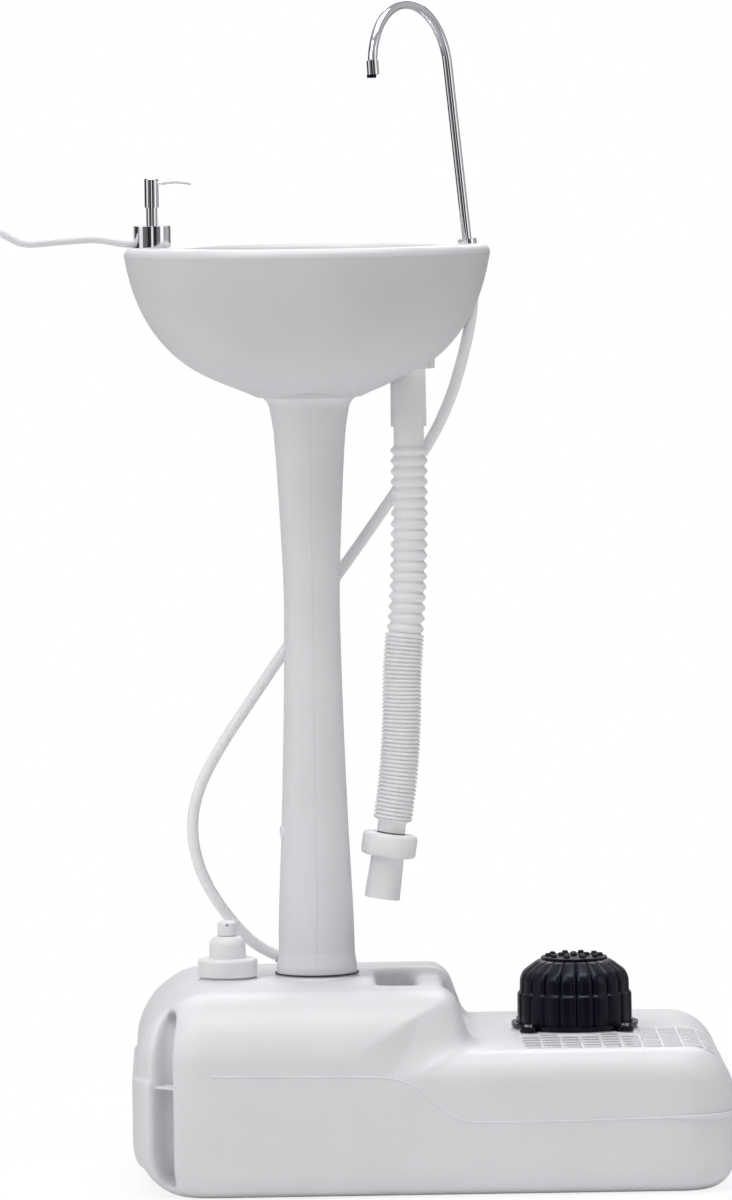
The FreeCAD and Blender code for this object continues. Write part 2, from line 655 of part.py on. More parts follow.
def column_solid(inset, foot, top_radius):
    """The column's outside, or its hollow for an inset."""
    points = column_radius_points(inset)
    curve = Part.BSplineCurve()
    curve.interpolate(points)
    low, high = points[0], points[-1]
    base = Vec(COLUMN_X, 0, foot)
    ring_low = Vec(COLUMN_X + COLUMN_FOOT_RADIUS - inset, 0, foot)
    ring_high = Vec(COLUMN_X + COLUMN_FOOT_RADIUS - inset, 0, COLUMN_FOOT + FOOT_RING_HEIGHT)
    head = Vec(COLUMN_X + top_radius, 0, COLUMN_TOP)
    sweep = Part.Arc(high, (high + head) / 2 + Vec(-1, 0, 1) * (top_radius * HEAD_SWEEP_SHARE), head)
    wire = Part.Wire([Part.makeLine(base, ring_low), Part.makeLine(ring_low, ring_high),
                      Part.makeLine(ring_high, low), curve.toShape(), sweep.toShape(),
                      Part.makeLine(head, Vec(COLUMN_X, 0, COLUMN_TOP)),
                      Part.makeLine(Vec(COLUMN_X, 0, COLUMN_TOP), base)])
    return Part.Face(wire).revolve(Vec(COLUMN_X, 0, 0), UP, 360)


PLUG_AXIS = Vec(-math.cos(math.radians(PLUG_TURN)), -math.sin(math.radians(PLUG_TURN)), 0)


def column_radius_at(level):
    """Outside radius of the column at a height, from the share table."""
    share = (level - COLUMN_FOOT) / (COLUMN_TOP - COLUMN_FOOT)
    for (low, first), (high, second) in zip(COLUMN_SHARES, COLUMN_SHARES[1:]):
        if low <= share <= high:
            return COLUMN_FOOT_RADIUS * (first + (second - first) * (share - low) / (high - low))


PLUG_FACE = column_radius_at(PLUG_HEIGHT) + PLUG_PROUD


def plug_rod(radius, length):
    start = Vec(COLUMN_X, 0, PLUG_HEIGHT) + PLUG_AXIS * (PLUG_FACE - length)
    return Part.makeCylinder(radius, length, start, PLUG_AXIS)


def make_column():
    outside = column_solid(0, COLUMN_FOOT, COLUMN_HEAD_RADIUS)
    hollow = column_solid(COLUMN_WALL, COLUMN_FOOT, COLUMN_HEAD_RADIUS - COLUMN_WALL)
    socket_top = COLUMN_FOOT + SPIGOT_HEIGHT + SOFT_GAP
    head_bottom = COLUMN_TOP - HEAD_SPIGOT_LENGTH - SOFT_GAP
    hollow = hollow.common(box(-TANK_LENGTH, TANK_LENGTH, -TANK_WIDTH, TANK_WIDTH, socket_top, head_bottom))
    body = outside.cut(hollow)
    body = body.cut(rod(SPIGOT_RADIUS + EASE, COLUMN_FOOT - OVERRUN, socket_top, COLUMN_X))
    body = body.cut(rod(HEAD_SPIGOT_RADIUS + EASE, head_bottom, COLUMN_TOP + OVERRUN, COLUMN_X))
    return body.cut(plug_rod(PLUG_RADIUS / 2 + EASE, PLUG_LENGTH + OVERRUN))


def make_column_plug():
    """A pushed-in plug: a stem through the wall and a thin round head outside."""
    stem = plug_rod(PLUG_RADIUS / 2, PLUG_LENGTH)
    head = plug_rod(PLUG_RADIUS, PLUG_PROUD * 2)
    return fused(stem, head).cut(column_solid(0, COLUMN_FOOT, COLUMN_HEAD_RADIUS).cut(
        plug_rod(PLUG_RADIUS / 2 + EASE, PLUG_LENGTH + OVERRUN)))


# Basin

FAUCET_AXIS = Vec(-math.sin(math.radians(FAUCET_LEAN)), 0, math.cos(math.radians(FAUCET_LEAN)))
FAUCET_SEAT = Vec(FAUCET_X, 0, RIM_TOP)


def oval_wire(half_length, level):
    """An ellipse across the basin, narrowed front to back."""
    ellipse = Part.Ellipse(Vec(COLUMN_X, 0, level), half_length, half_length * BASIN_WIDTH_SHARE)
    return Part.Wire(ellipse.toShape())


def basin_form(inset=0.0):
    """The basin's outside, or its inside for a wall as thick as the inset."""
    lip = RIM_TOP - RIM_RADIUS
    bottom, half_length, round_off = COLUMN_TOP + inset, BASIN_HALF_LENGTH - inset, RIM_RADIUS - inset
    wires = [oval_wire(BASIN_BOTTOM_RADIUS - inset, bottom)]
    wires += [oval_wire(half_length * share, lip - (lip - bottom) * level)
              for level, share in BASIN_SHARES[::-1]]
    lower = Part.makeLoft(wires + [oval_wire(half_length, lip)], True, False)
    turns = [math.pi / 2 * share for share in RIM_TURN_SHARES]
    rim = [oval_wire(half_length - round_off * (1 - math.cos(t)), lip + round_off * math.sin(t))
           for t in turns]
    return lower.fuse(Part.makeLoft(rim, True, False))


def bowl(grow=0.0):
    """The hollow that holds the water, or that hollow with its wall."""
    top = RIM_TOP + OVERRUN
    floor = BOWL_FLOOR - grow
    corners = ((0, floor, 0), (BOWL_FLOOR_RADIUS + grow, floor, BOWL_CORNER_RADIUS),
               (BOWL_RADIUS + grow, RIM_TOP, 0), (BOWL_RADIUS + grow, top, 0), (0, top, 0))
    return turned(corners, COLUMN_X)


def bowl_lip():
    """What the rounded inner edge of the rim takes away."""
    inner, outer = BOWL_RADIUS - OVERRUN, BOWL_RADIUS + BOWL_LIP_RADIUS
    low, high = RIM_TOP - BOWL_LIP_RADIUS, RIM_TOP + OVERRUN
    ring_box = turned(((inner, low, 0), (outer, low, 0), (outer, high, 0), (inner, high, 0)), COLUMN_X)
    bead = Part.makeTorus(outer, BOWL_LIP_RADIUS, Vec(COLUMN_X, 0, low))
    return ring_box.cut(bead)


def faucet_rod(radius, bottom, top):
    """A round piece on the spout's leaning axis, between two distances from the rim."""
    return Part.makeCylinder(radius, top - bottom, FAUCET_SEAT + FAUCET_AXIS * bottom, FAUCET_AXIS)


def make_basin():
    pocket = DRAIN_NUT_RADIUS + SOFT_GAP
    post = rod(pocket + BASIN_WALL, COLUMN_TOP, BOWL_FLOOR, DRAIN_X)
    void = basin_form(BASIN_WALL).cut(bowl(BASIN_WALL)).cut(post)
    body = basin_form().cut(bowl()).cut(bowl_lip()).cut(void)
    spigot = ring(HEAD_SPIGOT_RADIUS, HEAD_SPIGOT_RADIUS - HEAD_SPIGOT_WALL,
                  COLUMN_TOP - HEAD_SPIGOT_LENGTH, COLUMN_TOP + BASIN_WALL / 2, COLUMN_X)
    body = body.fuse(spigot)
    body = body.cut(rod(DRAIN_SEAT_RADIUS, BOWL_FLOOR - DRAIN_SEAT_DEPTH, BOWL_FLOOR + OVERRUN, DRAIN_X))
    body = body.cut(rod(TAIL_RADIUS + EASE, COLUMN_TOP, BOWL_FLOOR, DRAIN_X))
    body = body.cut(rod(pocket, COLUMN_TOP - OVERRUN, DRAIN_POST_BOTTOM, DRAIN_X))
    body = body.cut(rod(BOTTLE_RADIUS + EASE, RIM_TOP - 2 * OVERRUN, RIM_TOP + OVERRUN, SOAP_X))
    body = body.cut(faucet_rod(SHANK_RADIUS + EASE, -2 * OVERRUN, OVERRUN))
    for above, below in zip(SUPPLY_ROUTE[:2], SUPPLY_ROUTE[1:]):
        run = Vec(*below) - Vec(*above)
        body = body.cut(Part.makeCylinder(HOSE_HOLE_RADIUS, run.Length + OVERRUN, Vec(*above), run))
    return body


# Drain

def make_drain_strainer():
    """A flange with a crossed grate and a threaded tail through the basin."""
    top = BOWL_FLOOR - DRAIN_SEAT_DEPTH + GASKET_THICKNESS + STRAINER_FLANGE
    body = fused(rod(STRAINER_RADIUS, top - STRAINER_FLANGE, top, DRAIN_X),
                 rod(TAIL_RADIUS, TAIL_BOTTOM, top, DRAIN_X))
    body = body.cut(rod(TAIL_RADIUS - TAIL_WALL, TAIL_BOTTOM - OVERRUN, top - STRAINER_FLANGE, DRAIN_X))
    for x, y in around(STRAINER_HOLES, STRAINER_HOLE_CIRCLE, DRAIN_X):
        body = body.cut(rod(STRAINER_HOLE_RADIUS, top - 2 * OVERRUN, top + OVERRUN, x, y))
    return body.cut(rod(STRAINER_HOLE_RADIUS, top - 2 * OVERRUN, top + OVERRUN, DRAIN_X))


def make_drain_gasket():
    seat = BOWL_FLOOR - DRAIN_SEAT_DEPTH
    return ring(TAIL_RADIUS + EASE + GASKET_WALL, TAIL_RADIUS + EASE, seat, seat + GASKET_THICKNESS, DRAIN_X)


def make_drain_nut():
    """A ribbed hand nut on the tail, up against the basin's drain post."""
    body = rod(DRAIN_NUT_RADIUS - DRAIN_NUT_RIB_RADIUS, DRAIN_NUT_BOTTOM, DRAIN_POST_BOTTOM, DRAIN_X)
    ribs = [rod(DRAIN_NUT_RIB_RADIUS, DRAIN_NUT_BOTTOM, DRAIN_POST_BOTTOM, x, y)
            for x, y in around(DRAIN_NUT_RIBS, DRAIN_NUT_RADIUS - DRAIN_NUT_RIB_RADIUS, DRAIN_X)]
    return fused(body, *ribs).cut(rod(TAIL_RADIUS + FIT, DRAIN_NUT_BOTTOM - OVERRUN,
                                      DRAIN_POST_BOTTOM + OVERRUN, DRAIN_X))


def make_drain_adaptor():
    """The tapered tube on the tail, with a socket for the hose's cuff at its lower end."""
    height = DRAIN_NUT_BOTTOM - ADAPTOR_BOTTOM
    body = Part.makeCone(ADAPTOR_BOTTOM_RADIUS, ADAPTOR_TOP_RADIUS, height, Vec(DRAIN_X, 0, ADAPTOR_BOTTOM))
    body = body.cut(rod(ADAPTOR_BORE, ADAPTOR_BOTTOM - OVERRUN, DRAIN_NUT_BOTTOM + OVERRUN, DRAIN_X))
    body = body.cut(rod(TAIL_RADIUS + EASE, TAIL_BOTTOM - SOFT_GAP, DRAIN_NUT_BOTTOM + OVERRUN, DRAIN_X))
    return body.cut(rod(CUFF_RADIUS + EASE, ADAPTOR_BOTTOM - OVERRUN, ADAPTOR_BOTTOM + CUFF_SOCKET, DRAIN_X))


def make_drain_hose():
    """The hose's pieces, one after the other down its centre line."""
    route = Route("drain hose", DRAIN_ROUTE)
    open_start = ADAPTOR_BOTTOM - CUFF_BOTTOM
    closed_start = open_start + OPEN_LENGTH
    neck_start = closed_start + CLOSED_LENGTH
    collar_start = neck_start + NECK_LENGTH
    end_start = collar_start + HOSE_COLLAR_LENGTH
    cuff = ring(CUFF_RADIUS, HOSE_BORE, CUFF_BOTTOM, ADAPTOR_BOTTOM + CUFF_SOCKET - EASE, DRAIN_X)
    save("drain_cuff", cuff)
    save("drain_hose_open", route.ribbed(open_start, OPEN_LENGTH, OPEN_RIBS, OPEN_RIDGE_RADIUS,
                                         OPEN_VALLEY_RADIUS, HOSE_BORE))
    save("drain_hose_closed", route.ribbed(closed_start, CLOSED_LENGTH, CLOSED_RIBS, CLOSED_RIDGE_RADIUS,
                                           CLOSED_VALLEY_RADIUS, HOSE_BORE))
    save("drain_neck", route.sleeve(neck_start, NECK_LENGTH, NECK_RADIUS, NECK_RADIUS, HOSE_BORE))
    save("drain_collar", route.sleeve(collar_start, HOSE_COLLAR_LENGTH, HOSE_COLLAR_RADIUS,
                                      HOSE_COLLAR_RADIUS, HOSE_BORE, HOSE_COLLAR_EDGE))
    save("drain_end", route.sleeve(end_start, HOSE_END_LENGTH, HOSE_END_TOP_RADIUS,
                                   HOSE_END_RADIUS, HOSE_END_BORE))


# Supply hose and its ends

def make_supply():
    route = Route("supply hose", SUPPLY_ROUTE)
    hose = route.tube(SUPPLY_RADIUS).cut(route.tube(SUPPLY_BORE))
    section = math.pi * (SUPPLY_RADIUS ** 2 - SUPPLY_BORE ** 2)
    print(f"supply hose: volume {hose.Volume:.0f}, section times length {section * route.length:.0f}")
    save("supply_hose", hose)
    end, direction = route.at(route.length)
    save("hose_clamp_low", clamp(end - direction * CLAMP_SETBACK, direction))
    start, direction = route.at(0)
    save("hose_clamp_high", clamp(start + direction * CLAMP_SETBACK, direction))
    save("delivery_barb", elbow(*route.at(route.length)))
    tube_top = TALL_HEIGHT - TANK_WALL
    tube_end = ((BARB_X + DELIVERY_BEND_RUN, BARB_Y, tube_top - DELIVERY_BEND_DROP),
                (BARB_X, BARB_Y, tube_top - DELIVERY_RISE), (BARB_X, BARB_Y, tube_top))
    inner = Route("delivery tube", DELIVERY_ROUTE + tube_end)
    save("delivery_tube", inner.tube(DELIVERY_RADIUS).cut(inner.tube(DELIVERY_BORE)))


def clamp(centre, direction):
    """A sprung hose clip: a band round the hose with two ears."""
    inner = SUPPLY_RADIUS + FIT
    outer = inner + CLAMP_THICKNESS
    start = centre - direction * (CLAMP_WIDTH / 2)
    band = Part.makeCylinder(outer, CLAMP_WIDTH, start, direction)
    side = Vec(0, 1, 0)
    ears = []
    for shift in (-1, 1):
        across = direction.cross(side).normalize()
        ear = Part.makeBox(CLAMP_EAR, CLAMP_THICKNESS, CLAMP_WIDTH)
        turn = FreeCAD.Rotation(side, across * shift, direction, "ZXY")
        ear.Placement = FreeCAD.Placement(start + side * inner + across * shift * CLAMP_THICKNESS, turn)
        ears.append(ear)
    whole = fused(band, *ears)
    bore = Part.makeCylinder(inner, CLAMP_WIDTH + 2 * OVERRUN, start - direction * OVERRUN, direction)
    return whole.cut(bore)


def elbow(tip, direction):
    """An elbow in the tank's top, whose barb goes up into the end of the hose."""
    knee = Vec(BARB_X, BARB_Y, TALL_HEIGHT + ELBOW_HEIGHT)
    back = (tip - knee).normalize()
    reach = (tip - knee).Length
    body = fused(rod(ELBOW_BASE_RADIUS, TALL_HEIGHT, TALL_HEIGHT + ELBOW_BASE_HEIGHT, BARB_X, BARB_Y),
                 rod(ELBOW_RADIUS, TALL_HEIGHT - TANK_WALL, knee.z, BARB_X, BARB_Y),
                 Part.makeSphere(ELBOW_RADIUS, knee),
                 Part.makeCylinder(ELBOW_RADIUS - FIT, reach - SOFT_GAP, knee, back),
                 Part.makeCylinder(BARB_RADIUS, reach + BARB_LENGTH / 2, knee, back))
    body = body.cut(rod(BARB_BORE, TALL_HEIGHT - 2 * OVERRUN, knee.z, BARB_X, BARB_Y))
    return body.cut(Part.makeCylinder(BARB_BORE, reach + BARB_LENGTH, knee, back))


# Faucet

def spout_plane():
    """The direction in which the spout's arch leans out, square to its stem."""
    turn = math.radians(FAUCET_TURN)
    level = Vec(-math.cos(turn), -math.sin(turn), 0)
    return (level - FAUCET_AXIS * level.dot(FAUCET_AXIS)).normalize()


def arch_point(angle):
    stem_top = FAUCET_SEAT + FAUCET_AXIS * FAUCET_STEM
    outward = spout_plane()
    return stem_top + FAUCET_AXIS * (FAUCET_ARCH_RADIUS * math.sin(angle)) \
        + outward * (FAUCET_ARCH_RADIUS * (1 - math.cos(angle)))


def make_faucet():
    """The spout's tube, its nozzle, and the ring, shank and nut that hold it in the basin."""
    sweep = math.radians(FAUCET_ARCH_SWEEP)
    foot = FAUCET_SEAT + FAUCET_AXIS * (RING_HEIGHT - TUBE_DEPTH)
    stem_top, crown, tip = arch_point(0), arch_point(sweep / 2), arch_point(sweep)
    path = Part.Wire([Part.makeLine(foot, stem_top), Part.Arc(stem_top, crown, tip).toShape()])

    def tube(radius):
        return path.makePipeShell([Part.Wire(Part.makeCircle(radius, foot, FAUCET_AXIS))], True, False)

    save("faucet_tube", tube(FAUCET_TUBE_RADIUS).cut(tube(FAUCET_TUBE_BORE)))
    outward = spout_plane()
    down = FAUCET_AXIS * math.cos(sweep) + outward * math.sin(sweep)
    start = tip - down * NOZZLE_CUP
    nozzle = Part.makeCylinder(NOZZLE_RADIUS, NOZZLE_LENGTH, start, down)
    nozzle = nozzle.cut(tube(FAUCET_TUBE_RADIUS + EASE))
    save("faucet_nozzle", nozzle.cut(Part.makeCylinder(NOZZLE_BORE, NOZZLE_LENGTH + OVERRUN, start, down)))
    bore = faucet_rod(FAUCET_TUBE_RADIUS + FIT, RING_HEIGHT - TUBE_DEPTH, RING_HEIGHT + OVERRUN)
    above_rim = box(FAUCET_X - 2 * RING_RADIUS, FAUCET_X + 2 * RING_RADIUS, -2 * RING_RADIUS,
                    2 * RING_RADIUS, RIM_TOP, RIM_TOP + 2 * RING_HEIGHT)
    flange = faucet_rod(RING_RADIUS, -OVERRUN, RING_HEIGHT).common(above_rim).cut(bore)
    save("faucet_ring", flange.cut(faucet_rod(SHANK_RADIUS + EASE, -2 * OVERRUN, RING_HEIGHT - ORING_WALL)))
    shank = fused(faucet_rod(SHANK_RADIUS, -SHANK_LENGTH, RING_HEIGHT - ORING_WALL - EASE),
                  faucet_rod(SHANK_TAIL_RADIUS, -SHANK_LENGTH - SHANK_TAIL_LENGTH, -SHANK_LENGTH))
    shank = shank.cut(bore).cut(faucet_rod(BARB_BORE, -2 * SHANK_LENGTH, 0))
    groove_low = -OVERRUN
    oring = faucet_rod(FAUCET_TUBE_RADIUS + ORING_WALL, groove_low, groove_low + ORING_WALL).cut(
        faucet_rod(FAUCET_TUBE_RADIUS + FIT, -2 * OVERRUN, OVERRUN))
    save("faucet_oring", oring)
    seat = faucet_rod(FAUCET_TUBE_RADIUS + ORING_WALL, groove_low, groove_low + ORING_WALL)
    save("faucet_shank", shank.cut(seat))
    nut_top = -BASIN_WALL - SHANK_NUT_GAP
    nut = prism_nut(SHANK_NUT_RADIUS, nut_top - SHANK_NUT_HEIGHT, nut_top)
    save("faucet_nut", nut.cut(faucet_rod(SHANK_RADIUS + FIT, -SHANK_LENGTH, 0)))


def prism_nut(radius, bottom, top):
    """A six-sided nut on the spout's leaning axis."""
    corners = [Vec(x, y, 0) for x, y in around(6, radius)]
    face = Part.Face(Part.makePolygon(corners + corners[:1]))
    nut = face.extrude(UP * (top - bottom))
    nut.Placement = FreeCAD.Placement(FAUCET_SEAT + FAUCET_AXIS * bottom, FreeCAD.Rotation(UP, FAUCET_AXIS))
    return nut


# Soap dispenser

def make_soap():
    collar_foot = RIM_TOP
    barrel_bottom = SOAP_COLLAR_TOP - SOAP_BARREL_DEPTH
    collar = turned(((0, collar_foot, 0), (SOAP_COLLAR_RADIUS, collar_foot, 0),
                     (SOAP_COLLAR_RADIUS, SOAP_COLLAR_TOP, SOAP_HEAD_EDGE), (0, SOAP_COLLAR_TOP, 0)), SOAP_X)
    collar = collar.cut(rod(SOAP_BARREL_RADIUS + EASE, collar_foot - OVERRUN,
                            SOAP_COLLAR_TOP - SOAP_BARREL_WALL, SOAP_X))
    collar = collar.cut(rod(SOAP_STEM_RADIUS + FIT, collar_foot, SOAP_COLLAR_TOP + OVERRUN, SOAP_X))
    save("soap_collar", collar)
    bottle_floor = RIM_TOP - BOTTLE_DEPTH
    bottle = ring(BOTTLE_RADIUS, BOTTLE_RADIUS - BOTTLE_WALL, bottle_floor, collar_foot, SOAP_X)
    save("soap_bottle", fused(bottle, rod(BOTTLE_RADIUS, bottle_floor, bottle_floor + BOTTLE_WALL, SOAP_X)))
    barrel_top = SOAP_COLLAR_TOP - SOAP_BARREL_WALL - EASE
    barrel = ring(SOAP_BARREL_RADIUS, SOAP_BARREL_RADIUS - SOAP_BARREL_WALL, barrel_bottom,
                  barrel_top, SOAP_X)
    floor = ring(SOAP_BARREL_RADIUS, DIP_RADIUS + EASE, barrel_bottom,
                 barrel_bottom + SOAP_BARREL_WALL, SOAP_X)
    save("soap_barrel", fused(barrel, floor))
    save("soap_dip_tube", ring(DIP_RADIUS, DIP_BORE, bottle_floor + BOTTLE_WALL + DIP_END_GAP,
                               barrel_bottom + SOAP_BARREL_WALL, SOAP_X))
    stem_bottom = SOAP_COLLAR_TOP - SOAP_STEM_DEPTH
    stem = fused(rod(SOAP_STEM_RADIUS, stem_bottom, SOAP_HEAD_BOTTOM, SOAP_X),
                 rod(SOAP_PEG_RADIUS, SOAP_HEAD_BOTTOM, SOAP_STEM_TOP, SOAP_X))
    save("soap_stem", stem.cut(rod(SOAP_STEM_BORE, stem_bottom - OVERRUN, SOAP_STEM_TOP + OVERRUN, SOAP_X)))
    save("soap_spring", ring(SOAP_SPRING_RADIUS, SOAP_SPRING_RADIUS - SOAP_SPRING_WALL,
                             barrel_bottom + SOAP_BARREL_WALL, stem_bottom, SOAP_X))
    make_soap_head()


def make_soap_head():
    """The pressed head with its thin curved nozzle, on the stem's peg."""
    head = turned(((0, SOAP_HEAD_BOTTOM, 0), (SOAP_HEAD_RADIUS, SOAP_HEAD_BOTTOM, 0),
                   (SOAP_HEAD_RADIUS, SOAP_HEAD_TOP, SOAP_HEAD_EDGE), (0, SOAP_HEAD_TOP, 0)), SOAP_X)
    start = Vec(SOAP_X, 0, SOAP_NOZZLE_HEIGHT)
    crown = start + Vec(SOAP_NOZZLE_REACH / 2, 0, SOAP_NOZZLE_RISE)
    tip = start + Vec(SOAP_NOZZLE_REACH, 0, SOAP_NOZZLE_RISE - SOAP_NOZZLE_DROP)
    arc = Part.Arc(start, crown, tip).toShape()
    direction = arc.tangentAt(arc.FirstParameter)

    def tube(radius):
        circle = Part.Wire(Part.makeCircle(radius, start, direction))
        return Part.Wire(arc).makePipeShell([circle], True, False)

    peg_hole = rod(SOAP_PEG_RADIUS + FIT, SOAP_HEAD_BOTTOM - OVERRUN, SOAP_STEM_TOP + SOFT_GAP, SOAP_X)
    duct = rod(SOAP_NOZZLE_BORE, SOAP_HEAD_BOTTOM, SOAP_NOZZLE_HEIGHT, SOAP_X)
    head = fused(head, tube(SOAP_NOZZLE_RADIUS))
    save("soap_head", head.cut(peg_hole).cut(tube(SOAP_NOZZLE_BORE)).cut(duct))


# Towel bar

def make_towel_bar():
    """A round bar with a turned-up end, on a ring round the dispenser's collar."""
    bottom = RIM_TOP
    outer = SOAP_COLLAR_RADIUS + FIT + TOWEL_RING_WALL
    hub = ring(outer, SOAP_COLLAR_RADIUS + FIT, bottom, bottom + TOWEL_RING_HEIGHT, SOAP_X)
    axis_height = bottom + SOFT_GAP + TOWEL_RADIUS
    corners = [Vec(SOAP_X - outer + TOWEL_RING_WALL / 2, 0, axis_height),
               Vec(SOAP_X - outer - TOWEL_BEND / 2, 0, axis_height + EASE),
               Vec(SOAP_X - outer - TOWEL_RISE_REACH, 0, axis_height + TOWEL_RISE),
               Vec(SOAP_X - TOWEL_STRAIGHT, 0, axis_height + TOWEL_RISE - TOWEL_FALL),
               Vec(SOAP_X - TOWEL_REACH, 0, axis_height + TOWEL_RISE - TOWEL_FALL + TOWEL_HOOK_RISE)]
    bar = Route("towel bar", corners).tube(TOWEL_RADIUS)
    keep_out = rod(SOAP_COLLAR_RADIUS + FIT, bottom - OVERRUN, bottom + TOWEL_RING_HEIGHT + OVERRUN, SOAP_X)
    save("towel_bar", fused(hub, bar).cut(keep_out))


# Filler cap

def make_cap():
    inner_top = NECK_TOP + SEAL_THICKNESS
    cap = turned(((0, CAP_BOTTOM, 0), (CAP_RADIUS, CAP_BOTTOM, 0), (CAP_RADIUS, CAP_TOP, CAP_EDGE),
                  (BELL_RADIUS, CAP_TOP, 0), (BELL_RADIUS, BELL_TOP, BELL_EDGE), (0, BELL_TOP, 0)), CAP_X)
    cap = cap.cut(rod(NECK_OUTER_RADIUS + FIT, CAP_BOTTOM - OVERRUN, inner_top, CAP_X))
    stem_bottom = BELL_TOP - VENT_STEM_LENGTH
    cap = cap.cut(rod(VENT_STEM_RADIUS + FIT, stem_bottom - SOFT_GAP, BELL_TOP + OVERRUN, CAP_X))
    save("filler_cap", cap.cut(rod(VENT_HOLE_RADIUS, CAP_BOTTOM, BELL_TOP, CAP_X)))
    save("cap_seal", ring(NECK_OUTER_RADIUS - EASE, NECK_BORE, NECK_TOP, inner_top, CAP_X))
    vent = fused(turned(((0, BELL_TOP + VENT_GAP, 0), (VENT_RADIUS, BELL_TOP + VENT_GAP, 0),
                         (VENT_RADIUS, VENT_TOP, VENT_EDGE), (0, VENT_TOP, 0)), CAP_X),
                 rod(VENT_STEM_RADIUS, stem_bottom, BELL_TOP + VENT_GAP, CAP_X))
    spill = Part.makeCylinder(VENT_HOLE_RADIUS, VENT_RADIUS + OVERRUN,
                              Vec(CAP_X, 0, VENT_TOP - VENT_EDGE), Vec(0, -1, 0))
    duct = rod(VENT_HOLE_RADIUS, stem_bottom - OVERRUN, VENT_TOP - VENT_EDGE, CAP_X)
    save("vent_knob", vent.cut(duct).cut(spill))


# Foot pump

PUMP_SEAT = LOW_HEIGHT + PUMP_PAD_HEIGHT
BELLOWS_FOOT = PUMP_SEAT + PUMP_BASE_THICKNESS
BELLOWS_TOP = BELLOWS_FOOT + BELLOWS_HEIGHT


def bellows_face(radius, height):
    """Half of the section of the pump's dome."""
    corners = [(0, BELLOWS_FOOT, 0)]
    corners += [(radius * across, BELLOWS_FOOT + height * up, 0) for across, up in BELLOWS_SHARES]
    corners += [(radius * BELLOWS_SHARES[-1][0], BELLOWS_FOOT + height, 0), (0, BELLOWS_FOOT + height, 0)]
    return rounded_face(corners, lambda r, z: Vec(PUMP_X + r, 0, z))


def make_bellows():
    """A rubber dome with upright ribs, hollow and open below."""
    axis = Vec(PUMP_X, 0, 0)
    body = bellows_face(BELLOWS_RADIUS - BELLOWS_RIB, BELLOWS_HEIGHT).revolve(axis, UP, 360)
    pitch = 360 / BELLOWS_RIBS
    for i in range(BELLOWS_RIBS):
        rib = bellows_face(BELLOWS_RADIUS, BELLOWS_HEIGHT)
        rib.rotate(axis, UP, i * pitch)
        body = body.fuse(rib.revolve(axis, UP, pitch * BELLOWS_RIB_SHARE))
    inner = bellows_face(BELLOWS_RADIUS - BELLOWS_RIB - BELLOWS_WALL, BELLOWS_HEIGHT - BELLOWS_WALL)
    return body.removeSplitter().cut(inner.revolve(axis, UP, 360))


